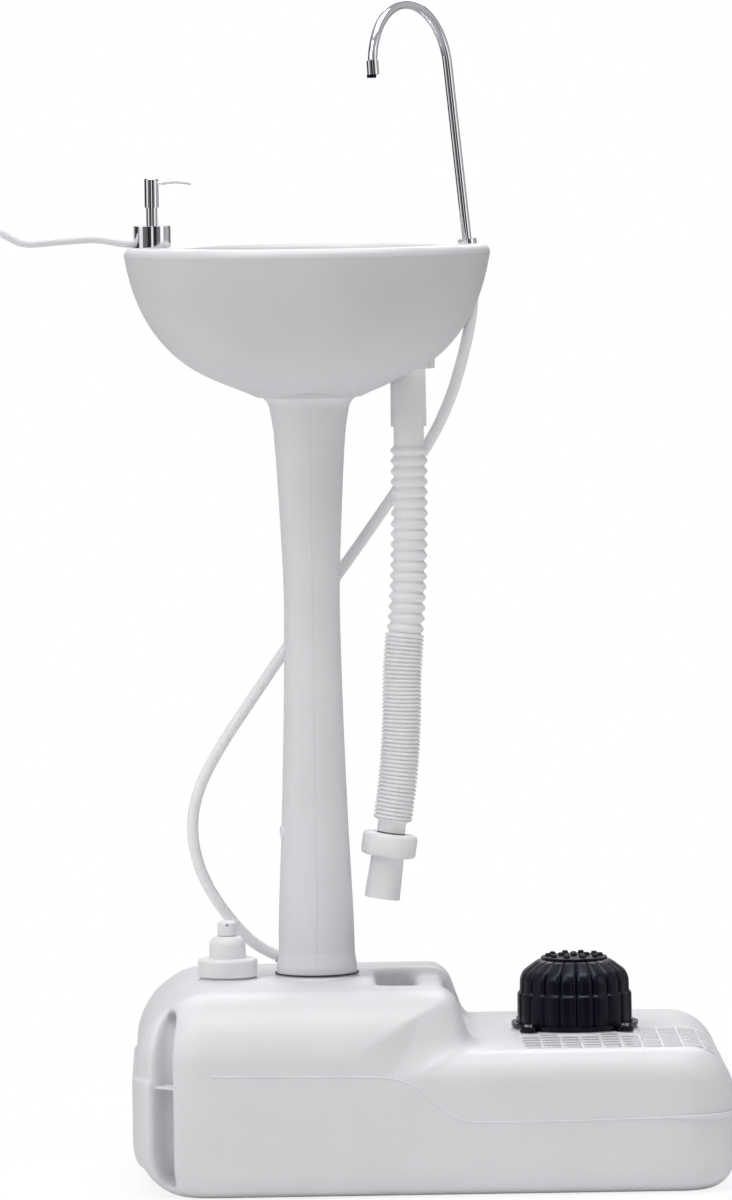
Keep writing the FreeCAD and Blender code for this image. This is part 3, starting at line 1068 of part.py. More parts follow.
def make_pump():
    lugs = around(PUMP_LUGS, PUMP_LUG_CIRCLE, PUMP_X, 0, LUG_TURN)
    chamber_floor = PUMP_SEAT - CHAMBER_DEPTH
    base = fused(rod(PUMP_BASE_RADIUS, PUMP_SEAT, BELLOWS_FOOT, PUMP_X),
                 rod(CHAMBER_RADIUS, chamber_floor, BELLOWS_FOOT, PUMP_X))
    base = base.cut(rod(CHAMBER_RADIUS - CHAMBER_WALL, chamber_floor + CHAMBER_WALL,
                        BELLOWS_FOOT + OVERRUN, PUMP_X))
    ports = ((PUMP_X + VALVE_SPREAD, 0), (PUMP_X - VALVE_SPREAD, 0))
    for x, y in ports:
        base = base.cut(rod(VALVE_PORT_RADIUS, chamber_floor - OVERRUN, BELLOWS_FOOT, x, y))
    pickup_x = ports[0][0]
    socket = ring(PICKUP_RADIUS + EASE + CHAMBER_WALL, PICKUP_RADIUS + EASE,
                  chamber_floor - PICKUP_SOCKET, chamber_floor, pickup_x)
    outlet_axis = Vec(-1, 0, 0)
    outlet_z = DELIVERY_ROUTE[0][2]
    tube_start = DELIVERY_ROUTE[0][0]
    outlet_length = PUMP_X - CHAMBER_RADIUS + CHAMBER_WALL - tube_start
    outlet = Part.makeCylinder(DELIVERY_RADIUS, outlet_length,
                               Vec(PUMP_X - CHAMBER_RADIUS + CHAMBER_WALL, 0, outlet_z), outlet_axis)
    outlet_bore = Part.makeCylinder(DELIVERY_BORE, 2 * CHAMBER_WALL + outlet_length + OVERRUN,
                                    Vec(PUMP_X - CHAMBER_RADIUS + 2 * CHAMBER_WALL, 0, outlet_z), outlet_axis)
    save("pump_base", fused(base, socket, outlet).cut(outlet_bore))
    valve_low = chamber_floor + CHAMBER_WALL
    for name, (x, y) in zip(("inlet_valve", "outlet_valve"), ports):
        save(name, rod(VALVE_RADIUS, valve_low, valve_low + VALVE_THICKNESS, x, y))
    flange = rod(PUMP_FLANGE_RADIUS, BELLOWS_FOOT, BELLOWS_FOOT + PUMP_FLANGE_THICKNESS, PUMP_X)
    flange = fused(flange, *(rod(PUMP_LUG_RADIUS, BELLOWS_FOOT, BELLOWS_FOOT + PUMP_FLANGE_THICKNESS, x, y)
                             for x, y in lugs))
    flange = flange.cut(rod(BELLOWS_RADIUS + EASE, PUMP_SEAT, BELLOWS_TOP, PUMP_X))
    skirt = fused(*(rod(PUMP_LUG_RADIUS, PUMP_SEAT, BELLOWS_FOOT, x, y) for x, y in lugs))
    flange = fused(flange, *skirt.cut(rod(PUMP_BASE_RADIUS + EASE, 0, BELLOWS_TOP, PUMP_X)).Solids)
    top = BELLOWS_FOOT + PUMP_FLANGE_THICKNESS
    screws = []
    for x, y in lugs:
        flange = flange.cut(rod(SCREW_RADIUS + EASE, PUMP_SEAT - OVERRUN, top + OVERRUN, x, y))
        screw = fused(rod(SCREW_RADIUS, PUMP_SEAT - SCREW_LENGTH, top, x, y),
                      rod(SCREW_HEAD_RADIUS, top, top + SCREW_HEAD_HEIGHT, x, y))
        slots = (box(x - SCREW_HEAD_RADIUS, x + SCREW_HEAD_RADIUS, y - SCREW_SLOT / 2, y + SCREW_SLOT / 2,
                     top + SCREW_HEAD_HEIGHT / 2, top + OVERRUN),
                 box(x - SCREW_SLOT / 2, x + SCREW_SLOT / 2, y - SCREW_HEAD_RADIUS, y + SCREW_HEAD_RADIUS,
                     top + SCREW_HEAD_HEIGHT / 2, top + OVERRUN))
        screws.append(screw.cut(slots[0]).cut(slots[1]))
    save("pump_flange", flange)
    save("pump_screws", Part.makeCompound(screws))
    save("pump_bellows", make_bellows())
    save("pump_spring", ring(PUMP_SPRING_RADIUS, PUMP_SPRING_RADIUS - PUMP_SPRING_WALL,
                             valve_low, BELLOWS_TOP - BELLOWS_WALL, PUMP_X))
    tread = rod(TREAD_RADIUS, BELLOWS_TOP, BELLOWS_TOP + TREAD_THICKNESS, PUMP_X)
    knobs = [rod(TREAD_KNOB_RADIUS, BELLOWS_TOP, BELLOWS_TOP + TREAD_THICKNESS + TREAD_KNOB_HEIGHT, x, y)
             for x, y in around(TREAD_KNOBS, TREAD_KNOB_CIRCLE, PUMP_X)]
    save("pump_tread", fused(tread, *knobs))
    strainer_bottom = TANK_WALL + PICKUP_FLOOR_GAP
    save("pickup_tube", ring(PICKUP_RADIUS, PICKUP_BORE, strainer_bottom + PICKUP_STRAINER_HEIGHT,
                             chamber_floor, pickup_x))
    strainer_top = strainer_bottom + PICKUP_STRAINER_HEIGHT
    strainer = rod(PICKUP_STRAINER_RADIUS, strainer_bottom, strainer_top, pickup_x)
    save("pickup_strainer", strainer.cut(rod(PICKUP_BORE, strainer_bottom + TANK_WALL,
                                             strainer_top + OVERRUN, pickup_x)))


save("tank", make_tank())
save("column", make_column())
save("column_plug", make_column_plug())
save("basin", make_basin())
save("drain_strainer", make_drain_strainer())
save("drain_gasket", make_drain_gasket())
save("drain_nut", make_drain_nut())
save("drain_adaptor", make_drain_adaptor())
make_drain_hose()
make_supply()
make_faucet()
make_soap()
make_towel_bar()
make_cap()
make_pump()
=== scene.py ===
import json
import math

import bmesh
import bpy
import numpy as np
from mathutils import Matrix, Vector


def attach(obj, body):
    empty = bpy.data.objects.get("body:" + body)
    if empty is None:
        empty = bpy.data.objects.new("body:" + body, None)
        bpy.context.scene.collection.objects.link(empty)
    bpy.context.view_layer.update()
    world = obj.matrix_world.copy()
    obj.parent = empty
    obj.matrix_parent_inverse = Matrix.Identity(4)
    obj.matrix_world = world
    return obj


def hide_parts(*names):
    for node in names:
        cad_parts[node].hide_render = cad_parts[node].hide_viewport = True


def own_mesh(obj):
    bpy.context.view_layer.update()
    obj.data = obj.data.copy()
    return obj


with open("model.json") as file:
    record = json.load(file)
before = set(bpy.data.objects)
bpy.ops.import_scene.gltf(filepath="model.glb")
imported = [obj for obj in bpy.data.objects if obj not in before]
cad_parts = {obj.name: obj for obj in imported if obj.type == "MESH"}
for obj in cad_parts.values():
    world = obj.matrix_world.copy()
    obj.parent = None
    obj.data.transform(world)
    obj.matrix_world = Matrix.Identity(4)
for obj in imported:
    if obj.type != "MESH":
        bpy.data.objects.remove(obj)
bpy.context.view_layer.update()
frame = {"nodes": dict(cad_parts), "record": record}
NODES = frame["nodes"]
scene = bpy.context.scene
scene.view_settings.view_transform = "Standard"

# The scene is in metres. The tank's skin, its seams and its pads are worked out in millimetres.
MM = 0.001
COLUMN_X = -0.097
PUMP_X = 0.128
SOAP_X = -0.2315


# Camera

CAMERA_PLACE = (-0.18563, -7.82566, 1.00434)
CAMERA_YAW, CAMERA_PITCH, CAMERA_ROLL = 0.995, 3.667, -0.784     # degrees
CAMERA_LENS, CAMERA_SENSOR = 269.66, 36
CAMERA_REACH = 60


def make_camera():
    data = bpy.data.cameras.new("camera")
    data.sensor_fit = "AUTO"
    data.sensor_width = CAMERA_SENSOR
    data.lens = CAMERA_LENS
    data.clip_end = CAMERA_REACH
    camera = bpy.data.objects.new("camera", data)
    scene.collection.objects.link(camera)
    yaw, pitch, roll = math.radians(CAMERA_YAW), math.radians(CAMERA_PITCH), math.radians(CAMERA_ROLL)
    aim = Matrix.Rotation(-yaw, 4, "Z") @ Matrix.Rotation(math.pi / 2 - pitch, 4, "X")
    camera.matrix_world = Matrix.Translation(CAMERA_PLACE) @ aim @ Matrix.Rotation(roll, 4, "Z")
    scene.camera = camera


make_camera()


# Materials

def shade(name, colour, roughness, **sockets):
    """A procedural material; sockets sets further inputs of its shader by name."""
    material = bpy.data.materials.new(name)
    material.use_nodes = True
    shader = material.node_tree.nodes["Principled BSDF"]
    shader.inputs["Base Color"].default_value = (*colour, 1)
    shader.inputs["Roughness"].default_value = roughness
    for socket, value in sockets.items():
        shader.inputs[socket.replace("_", " ")].default_value = value
    return material


def linear(level):
    """A display level from 0 to 255 as a linear value."""
    c = level / 255
    return c / 12.92 if c <= 0.04045 else ((c + 0.055) / 1.055) ** 2.4


def tone(*levels):
    return tuple(linear(level) for level in levels)


def texture(material, kind, scale, detail=2.0):
    tree = material.node_tree
    place = tree.nodes.new("ShaderNodeTexCoord")
    node = tree.nodes.new(kind)
    node.inputs["Scale"].default_value = scale
    node.inputs["Detail"].default_value = detail
    tree.links.new(place.outputs["Object"], node.inputs["Vector"])
    return node


def add_bumps(material, layers):
    """Stacks bumps of noise: each layer is (scale, strength, depth in metres)."""
    tree = material.node_tree
    shader = tree.nodes["Principled BSDF"]
    before = None
    for scale, strength, depth in layers:
        source = texture(material, "ShaderNodeTexNoise", scale)
        bump = tree.nodes.new("ShaderNodeBump")
        bump.inputs["Strength"].default_value = strength
        bump.inputs["Distance"].default_value = depth
        tree.links.new(source.outputs[0], bump.inputs["Height"])
        if before is not None:
            tree.links.new(before.outputs[0], bump.inputs["Normal"])
        before = bump
    tree.links.new(before.outputs[0], shader.inputs["Normal"])


DRIFT_SPAN = (0.35, 0.65)      # the noise levels between which a colour changes


def vary(material, first, second, scale, roughness):
    """Lets the colour and the roughness drift softly, each between two values."""
    tree = material.node_tree
    shader = tree.nodes["Principled BSDF"]
    source = texture(material, "ShaderNodeTexNoise", scale, 4.0)
    ramp = tree.nodes.new("ShaderNodeValToRGB")
    for element, position, colour in zip(ramp.color_ramp.elements, DRIFT_SPAN, (first, second)):
        element.position = position
        element.color = (*colour, 1)
    tree.links.new(source.outputs[0], ramp.inputs[0])
    tree.links.new(ramp.outputs[0], shader.inputs["Base Color"])
    reach = tree.nodes.new("ShaderNodeMapRange")
    reach.inputs["To Min"].default_value, reach.inputs["To Max"].default_value = roughness
    tree.links.new(source.outputs[0], reach.inputs["Value"])
    tree.links.new(reach.outputs[0], shader.inputs["Roughness"])


DRIFT_LEVELS, DRIFT_SCALE = 2, 14.0
GRAIN_SCALE, GRAIN_DEPTH = 1400.0, 0.0002
WALL_WAVES = (32.0, 0.10, 0.0012)      # scale, strength and depth


def moulded(name, level, tint, roughness, grain, **sockets):
    """Moulded plastic: a fine grain, a soft unevenness of the wall, and faint drifts in its colour."""
    low = tone(*(level - DRIFT_LEVELS + t for t in tint))
    high = tone(*(level + DRIFT_LEVELS + t for t in tint))
    material = shade(name, high, roughness[0], **{"Specular_IOR_Level": 0.45, **sockets})
    vary(material, low, high, DRIFT_SCALE, roughness)
    add_bumps(material, ((GRAIN_SCALE, grain, GRAIN_DEPTH), WALL_WAVES))
    return material


NEUTRAL, COOL, BLUE_BLACK = (0, 0, 0), (0, 0, 3), (0, 0, 13)
FAINT_SHINE = {"Specular_IOR_Level": 0.26, "Specular_Tint": (0.8, 0.85, 1.0, 1)}
GREY = moulded("grey_plastic", 222, COOL, (0.38, 0.5), 0.12)
# The basin's grey plastic, set darker than the tank's grey: painted shade for its wall, which faces down and away
# from the lamps.
BASIN_SHADED_GREY = moulded("basin_plastic_painted_shade", 207, (1, 0, 3), (0.32, 0.42), 0.08)
POLISHED = moulded("polished_plastic", 226, COOL, (0.1, 0.16), 0.02)
PALE = moulded("pale_plastic", 236, (0, 0, 2), (0.34, 0.44), 0.08)
TUBE = shade("white_tube", tone(240, 240, 242), 0.28)
BOTTLE = moulded("bottle_plastic", 232, NEUTRAL, (0.3, 0.4), 0.05)
RUBBER = moulded("black_rubber", 7, BLUE_BLACK, (0.24, 0.34), 0.08, **FAINT_SHINE)
BLACK = moulded("black_plastic", 7, BLUE_BLACK, (0.2, 0.28), 0.06, **FAINT_SHINE)
SEAL = moulded("seal_rubber", 40, NEUTRAL, (0.5, 0.6), 0.2)
CHROME = shade("chrome", tone(226, 226, 229), 0.06, Metallic=1.0)
STEEL = shade("steel", tone(196, 196, 199), 0.26, Metallic=1.0)
add_bumps(STEEL, ((900.0, 0.15, 0.0001),))

FINISH = {"grey_plastic": GREY, "pale_plastic": PALE, "white_tube": TUBE, "chrome": CHROME,
          "black_rubber": RUBBER, "black_plastic": BLACK, "seal_rubber": SEAL, "steel": STEEL,
          "clear_bottle": BOTTLE}
OWN_FINISH = {"basin": BASIN_SHADED_GREY, "filler_cap": PALE, "vent_knob": PALE}


def dress_nodes():
    """Gives every node its own finish, or else that of its slot in the record."""
    slots = {part["node"]: part["material_slot"] for part in frame["record"]["subparts"]}
    for name, node in NODES.items():
        node.data.materials.clear()
        node.data.materials.append(OWN_FINISH.get(name) or FINISH[slots[name]])
        for face in node.data.polygons:
            face.material_index = 0


dress_nodes()


# Building blocks

def piece(name, verts, faces, material, body, slot, smooth=True):
    """A mesh that rides on a body."""
    mesh = bpy.data.meshes.new(name)
    mesh.from_pydata([tuple(v) for v in verts], [], [tuple(f) for f in faces])
    mesh.update()
    bm = bmesh.new()
    bm.from_mesh(mesh)
    bmesh.ops.recalc_face_normals(bm, faces=bm.faces)
    bm.to_mesh(mesh)
    bm.free()
    mesh.materials.append(material)
    for face in mesh.polygons:
        face.use_smooth = smooth
    made = bpy.data.objects.new(name, mesh)
    scene.collection.objects.link(made)
    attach(made, body)
    return made


def crease(made, degrees):
    """Smooth shading that stays sharp at edges steeper than an angle."""
    bpy.context.view_layer.objects.active = made
    for other in bpy.context.selected_objects:
        other.select_set(False)
    made.select_set(True)
    bpy.ops.object.shade_auto_smooth(angle=math.radians(degrees))


def grid_faces(rows, columns, wrap=True):
    """Quads of a grid of points, whose rows close on themselves if wrap is set."""
    faces = []
    for r in range(rows - 1):
        for c in range(columns if wrap else columns - 1):
            a, b = r * columns + c, r * columns + (c + 1) % columns
            faces.append((a, b, b + columns, a + columns))
    return faces


def spun(profile, segments, x=0.0, y=0.0):
    """Verts and faces of a closed form turned about an upright axis; profile is (radius, height), axis to axis."""
    rings = [p for p in profile if p[0] > 1e-7]
    verts = []
    for radius, height in rings:
        for s in range(segments):
            angle = 2 * math.pi * s / segments
            verts.append((x + radius * math.cos(angle), y + radius * math.sin(angle), height))
    faces = grid_faces(len(rings), segments)
    for end, height in ((0, profile[0][1]), (len(rings) - 1, profile[-1][1])):
        verts.append((x, y, height))
        hub = len(verts) - 1
        for s in range(segments):
            faces.append((end * segments + s, end * segments + (s + 1) % segments, hub))
    return verts, faces


def rounded_profile(corners, steps=5):
    """Rounds the inner corners of a (radius, height, rounding) line."""
    out = []
    for i, (r, z, rounding) in enumerate(corners):
        here = np.array((r, z))
        if i in (0, len(corners) - 1) or rounding <= 0:
            out.append((r, z))
            continue
        before = np.array(corners[i - 1][:2]) - here
        after = np.array(corners[i + 1][:2]) - here
        lengths = np.linalg.norm(before), np.linalg.norm(after)
        before, after = before / lengths[0], after / lengths[1]
        reach = min(rounding, lengths[0] * 0.49, lengths[1] * 0.49)
        start, end = here + before * reach, here + after * reach
        for k in range(steps + 1):
            t = k / steps
            point = start * (1 - t) ** 2 + here * 2 * t * (1 - t) + end * t ** 2
            out.append((float(point[0]), float(point[1])))
    return out


def spline_curve(name, points, thickness=0.0):
    """A curve on a smooth line with the points as its control points."""
    data = bpy.data.curves.new(name, "CURVE")
    data.dimensions = "3D"
    data.resolution_u = 16
    line = data.splines.new("NURBS")
    line.points.add(len(points) - 1)
    for point, place in zip(line.points, points):
        point.co = (*place, 1)
    line.order_u = 3
    line.use_endpoint_u = True
    if thickness:
        data.bevel_depth = thickness
        data.bevel_resolution = 6
        data.use_fill_caps = True
    made = bpy.data.objects.new(name, data)
    scene.collection.objects.link(made)
    return made


def read_line(points):
    """Points along the smooth line of a route."""
    guide = spline_curve("guide", points)
    guide.data.resolution_u = 40
    mesh = bpy.data.meshes.new_from_object(guide)
    line = np.array([v.co[:] for v in mesh.vertices])
    bpy.data.meshes.remove(mesh)
    data = guide.data
    bpy.data.objects.remove(guide)
    bpy.data.curves.remove(data)
    return line


class Line:
    """A smooth line that is walked by distance."""

    def __init__(self, points):
        self.points = points
        steps = np.linalg.norm(np.diff(points, axis=0), axis=1)
        self.reach = np.concatenate(([0.0], np.cumsum(steps)))
        self.length = float(self.reach[-1])

    def at(self, distance):
        distance = np.asarray(distance, float)
        return np.stack([np.interp(distance, self.reach, self.points[:, k]) for k in range(3)], axis=-1)

    def frames(self, distances):
        """Places with two directions across the line at each."""
        side = np.array((0.0, 1.0, 0.0))
        span = 0.0015
        places = self.at(distances)
        ahead = self.at(np.asarray(distances) + span) - self.at(np.asarray(distances) - span)
        ahead /= np.linalg.norm(ahead, axis=1)[:, None]
        side = side[None, :] - ahead * (ahead @ side)[:, None]
        side /= np.linalg.norm(side, axis=1)[:, None]
        return places, side, np.cross(ahead, side)

    def tube(self, distances, radii, segments):
        """Verts and faces of an open round skin along the line."""
        places, side, other = self.frames(distances)
        angles = np.linspace(0, 2 * math.pi, segments, endpoint=False)
        ring = np.cos(angles)[None, :, None] * side[:, None, :] + np.sin(angles)[None, :, None] * other[:, None, :]
        verts = places[:, None, :] + ring * np.asarray(radii)[:, None, None]
        return verts.reshape(-1, 3).tolist(), grid_faces(len(distances), segments)


# Supply hose

SUPPLY_RADIUS = 0.0049
SUPPLY_ROUTE = ((0.0462, 0.0, 0.7784), (0.0476, 0.0, 0.7637), (0.0432, 0.003, 0.736), (0.0366, 0.009, 0.709),
                (0.0275, 0.018, 0.678), (0.011, 0.028, 0.642), (-0.015, 0.034, 0.605), (-0.045, 0.037, 0.562),
                (-0.08, 0.04, 0.514), (-0.116, 0.04, 0.464), (-0.15, 0.038, 0.415), (-0.18, 0.036, 0.372),
                (-0.201, 0.035, 0.332), (-0.2055, 0.036, 0.294), (-0.195, 0.038, 0.255), (-0.171, 0.042, 0.2185),
                (-0.147, 0.046, 0.1934), (-0.1241, 0.046, 0.1849))
supply = spline_curve("supply_tube", SUPPLY_ROUTE, SUPPLY_RADIUS)
supply.data.materials.append(TUBE)
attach(supply, "stand")
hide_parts("supply_hose")


# Drain hose

DRAIN_ROUTE = ((-0.0105, 0.0, 0.654), (-0.0106, 0.0004, 0.6), (-0.0113, 0.001, 0.548), (-0.0136, 0.001, 0.496),
               (-0.019, 0.0, 0.447), (-0.0199, 0.0005, 0.396), (-0.0232, 0.001, 0.35), (-0.0296, 0.001, 0.306),
               (-0.0406, 0.001, 0.232))
OPEN_RIBS, CLOSED_RIBS = 18, 46
ROWS_PER_OPEN_RIB, ROWS_PER_CLOSED_RIB = 12, 7
HOSE_SEGMENTS, COLLAR_SEGMENTS = 36, 72
# Distances along the route, for a route as long as ROUTE_LENGTH
ROUTE_LENGTH = 0.4237
CUFF_END, OPEN_END, CLOSED_END, NECK_START, NECK_END = 0.0165, 0.181, 0.344, 0.3465, 0.358
COLLAR_START, COLLAR_HALF = 0.3567, 0.010
# Radii, and how far ribs and steps change them
CUFF_RADIUS, NECK_RADIUS = 0.0132, 0.0122
OPEN_RADIUS, OPEN_RISE = 0.0131, 0.0030
CLOSED_RADIUS, CLOSED_DROP = 0.0171, 0.0022
LAST_RADIUS, LAST_DROP = 0.0168, 0.0045
COLLAR_BORE, COLLAR_RADIUS = 0.0125, 0.024
COLLAR_EDGE, COLLAR_BEVEL = 0.003, 0.0009


def make_drain_hose():
    """One skin: a smooth cuff, wide ribs drawn apart, narrow ribs pushed together, and a smooth neck."""
    line = Line(read_line(DRAIN_ROUTE))
    scale = line.length / ROUTE_LENGTH
    distances, radii = [], []

    def stretch(start, end, count, radius):
        start, end = start * scale, end * scale
        for k in range(count):
            t = k / count
            distances.append(start + (end - start) * t)
            radii.append(radius(t))

    stretch(0.0, CUFF_END, 6, lambda t: CUFF_RADIUS)
    stretch(CUFF_END, OPEN_END, OPEN_RIBS * ROWS_PER_OPEN_RIB,
            lambda t: OPEN_RADIUS + OPEN_RISE * (0.5 - 0.5 * math.cos(2 * math.pi * t * OPEN_RIBS)) ** 0.7)
    stretch(OPEN_END, CLOSED_END, CLOSED_RIBS * ROWS_PER_CLOSED_RIB,
            lambda t: CLOSED_RADIUS - CLOSED_DROP * abs(math.cos(math.pi * t * CLOSED_RIBS)) ** 5)
    stretch(CLOSED_END, NECK_START, 4, lambda t: LAST_RADIUS - LAST_DROP * t)
    stretch(NECK_START, NECK_END, 5, lambda t: NECK_RADIUS)
    verts, faces = line.tube(distances, radii, HOSE_SEGMENTS)
    hose = piece("drain_hose", verts, faces, PALE, "stand", "pale_plastic")
    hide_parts("drain_hose_open", "drain_hose_closed", "drain_neck")
    collar = make_drain_collar(line, COLLAR_START * scale)


def make_drain_collar(line, start):
    """A round-edged grip ring on the hose's end."""
    shape = [(-COLLAR_HALF, COLLAR_BORE), (-COLLAR_HALF, COLLAR_RADIUS - COLLAR_EDGE),
             (-COLLAR_HALF + COLLAR_BEVEL, COLLAR_RADIUS - COLLAR_BEVEL), (-COLLAR_HALF + COLLAR_EDGE, COLLAR_RADIUS)]
    shape += [(0.0, COLLAR_RADIUS)] + [(-x, r) for x, r in shape[::-1]]
    centre = start + COLLAR_HALF
    verts, faces = line.tube([centre + x for x, r in shape], [r for x, r in shape], COLLAR_SEGMENTS)
    collar = piece("drain_grip", verts, faces, PALE, "stand", "pale_plastic")
    crease(collar, 40)
    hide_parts("drain_collar")
    return collar


make_drain_hose()


# Tank: one soft moulded skin, found as the zero level of a distance and moved on to it.
# Millimetres, and radii where no other meaning is given.

LEFT, RIGHT, HALF_WIDTH = -255.5, 259.0, 175.0
TALL, LOW = 173.0, 123.5
LEFT_CORNER, RIGHT_CORNER = 60.0, 45.0          # of the outline seen from above
CORNER_BLEND = 8.0                              # how much sooner an edge starts to change than its corner
LEFT_TOP, RIGHT_TOP = 66.0, 42.0                # of the top edges at the ends
TALL_FLANK, LOW_FLANK = 60.0, 25.0              # of the top edges along the flanks
FOOT, LEFT_FOOT, RIGHT_FOOT = 20.0, 45.0, 26.0

# The shoulder between the tall and the low end leans, and bows back along the flanks
SHOULDER_X, SHOULDER_Z, SHOULDER_SLOPE = 20.0, 166.0, 2.77
SHOULDER_BOW, SHOULDER_BOW_REACH = 60.0, 58.0
SHOULDER_EDGE, SHOULDER_HOLLOW = 14.0, 12.0
SHOULDER_FOOT, SHOULDER_RUN = 40.0, 34.0        # where the flank's edge has become the low one, and over how far

# The panel that stands proud round the left end
PANEL_PROUD, PANEL_CORNER, PANEL_END = 3.5, 63.0, -226.0
PANEL_MIDDLE, PANEL_HALF_HEIGHT = 63.0, 39.0
PANEL_EDGE, PANEL_END_EDGE, PANEL_HOLLOW = 4.0, 5.0, 3.0

# The trough in the tall end's top and the handle's bar across it
TROUGH_X, TROUGH_HALF_X, TROUGH_HALF_Y, TROUGH_FLOOR = 2.5, 47.5, 75.0, 128.0
TROUGH_CORNERS, TROUGH_FLOOR_EDGE, TROUGH_EDGE = (16.0, 2.0), 16.0, 9.0
BAR_X, BAR_Z, BAR_HALF_X, BAR_HALF_Z, BAR_HALF_Y = 1.25, 155.5, 13.25, 9.5, 79.0
BAR_CORNERS, BAR_HOLLOW = (8.0, 8.0), 9.0

# The upright grooves at the two left corners, which open along GROOVE_TURN and follow the skin
GROOVE_X, GROOVE_Y, GROOVE_TURN = -195.5, 115.0, math.radians(49.5)
GROOVE_BACK, GROOVE_HALF, GROOVE_EDGE = 44.0, 10.0, 7.0
GROOVE_BOTTOM, GROOVE_BOTTOM_EDGE = 9.0, 14.0
GROOVE_TOP, GROOVE_TOP_EDGE = 158.0, 12.0
GROOVE_LEAN = 0.45
GROOVE_RISE, GROOVE_FALL = 62.0, 40.0           # how far above and below it still follows the skin
WEB_BOTTOM, WEB_THICKNESS, WEB_BACK, WEB_HALF = 94.6, 2.0, 38.0, 12.0
WEB_FRONT, WEB_HOLLOW = 54.0, 2.5

# The column's spigot, the cap's seat, the filler neck and the pump's seat: radius, top and edge
COLUMN_PLACE, CAP_PLACE, PUMP_PLACE = COLUMN_X / MM, -175.0, PUMP_X / MM
SPIGOT = (36.5, 177.2, 3.0)
CAP_SEAT = (24.5, 175.1, 2.0)
NECK = (19.5, 187.0, 1.0)
NECK_BORE, NECK_BORE_BOTTOM = 16.5, 160.0
PUMP_SEAT = (55.5, 126.5, 2.0)
PUMP_LUG = (8.0, 126.5, 2.0)
PUMP_LUGS, PUMP_LUG_CIRCLE = 4, 59.0


def corner_box(x, y, half_x, half_y, radii):
    """Signed distance to a rectangle at the origin; radii are for its left and its right corners."""
    radius = np.where(x < 0, *radii)
    qx, qy = np.abs(x) - half_x + radius, np.abs(y) - half_y + radius
    return np.minimum(np.maximum(qx, qy), 0) + np.hypot(np.maximum(qx, 0), np.maximum(qy, 0)) - radius


def round_both(a, b, radius):
    """Signed distance to what two forms share, with a round edge where they meet."""
    return np.minimum(-radius, np.maximum(a, b)) + np.hypot(np.maximum(radius + a, 0), np.maximum(radius + b, 0))


def round_either(a, b, radius):
    """Signed distance to two forms together, with a hollow fillet where they meet."""
    return -round_both(-a, -b, radius)


def soft_max(a, b, reach):
    """The larger of two distances, blended where they differ by less than reach."""
    h = np.clip(0.5 - 0.5 * (b - a) / reach, 0, 1)
    return b + (a - b) * h + reach * h * (1 - h)


def soft_min(a, b, reach):
    return -soft_max(-a, -b, reach)


def upright(x, y, z, cx, cy, radius, top, edge):
    """Signed distance to an upright cylinder with a rounded top edge."""
    return soft_max(np.hypot(x - cx, y - cy) - radius, z - top, edge)


def sagitta(radius, reach):
    """How far an arc has drawn in at a distance from where it starts."""
    return radius - np.sqrt(radius ** 2 - reach ** 2)


def tank_body(x, y, z):
    """Signed distance to the tank without its trough, grooves and seats."""
    bow = np.clip(np.abs(y) - (HALF_WIDTH - SHOULDER_BOW), 0, SHOULDER_BOW_REACH)
    along = x + SHOULDER_BOW - np.sqrt(SHOULDER_BOW ** 2 - bow ** 2)
    slope = ((along - SHOULDER_X) * SHOULDER_SLOPE + z - SHOULDER_Z) / math.hypot(1.0, SHOULDER_SLOPE)
    top = round_either(round_both(z - TALL, slope, SHOULDER_EDGE), z - LOW, SHOULDER_HOLLOW)
    middle, half = (LEFT + RIGHT) / 2, RIGHT - (LEFT + RIGHT) / 2
    left = x < middle
    plan = corner_box(x - middle, y, half, HALF_WIDTH, (LEFT_CORNER, RIGHT_CORNER))
    # Share of the end's own radius in an edge: 0 along a flank, 1 along an end
    corner = np.where(left, LEFT_CORNER, RIGHT_CORNER) + CORNER_BLEND
    end = np.maximum(np.abs(x - middle) - half + corner, 0)
    flank = np.maximum(np.abs(y) - HALF_WIDTH + corner, 0)
    ends = end ** 2 / (end ** 2 + flank ** 2 + 0.01)
    flanks = LOW_FLANK + (TALL_FLANK - LOW_FLANK) * np.clip((SHOULDER_FOOT - along) / SHOULDER_RUN, 0, 1)
    d = round_both(plan, top, flanks + (np.where(left, LEFT_TOP, RIGHT_TOP) - flanks) * ends)
    d = round_both(d, -z, FOOT + np.where(left, LEFT_FOOT - FOOT, RIGHT_FOOT - FOOT) * ends)
    panel = corner_box(x - middle, y, half + PANEL_PROUD, HALF_WIDTH + PANEL_PROUD, (PANEL_CORNER, RIGHT_CORNER))
    panel = round_both(panel, -z, LEFT_FOOT)
    panel = soft_max(panel, np.abs(z - PANEL_MIDDLE) - PANEL_HALF_HEIGHT, PANEL_EDGE)
    return soft_min(d, soft_max(panel, x - PANEL_END, PANEL_END_EDGE), PANEL_HOLLOW)


def groove(x, y, z, side):
    """Signed distance to one of the grooves; side is -1 in front and 1 at the back."""
    above = sagitta(LEFT_TOP, np.clip(z - (TALL - LEFT_TOP), 0, GROOVE_RISE))
    drawn = above + sagitta(LEFT_FOOT, np.clip(LEFT_FOOT - z, 0, GROOVE_FALL))
    gx, gy = x - GROOVE_X, y - side * GROOVE_Y
    out = -gx * math.cos(GROOVE_TURN) + side * gy * math.sin(GROOVE_TURN) + drawn
    across = gx * math.sin(GROOVE_TURN) + side * gy * math.cos(GROOVE_TURN) + GROOVE_LEAN * above
    slot = np.where(out > GROOVE_BACK, np.abs(across), np.hypot(across, out - GROOVE_BACK)) - GROOVE_HALF
    return soft_max(soft_max(slot, GROOVE_BOTTOM - z, GROOVE_BOTTOM_EDGE), z - GROOVE_TOP, GROOVE_TOP_EDGE)


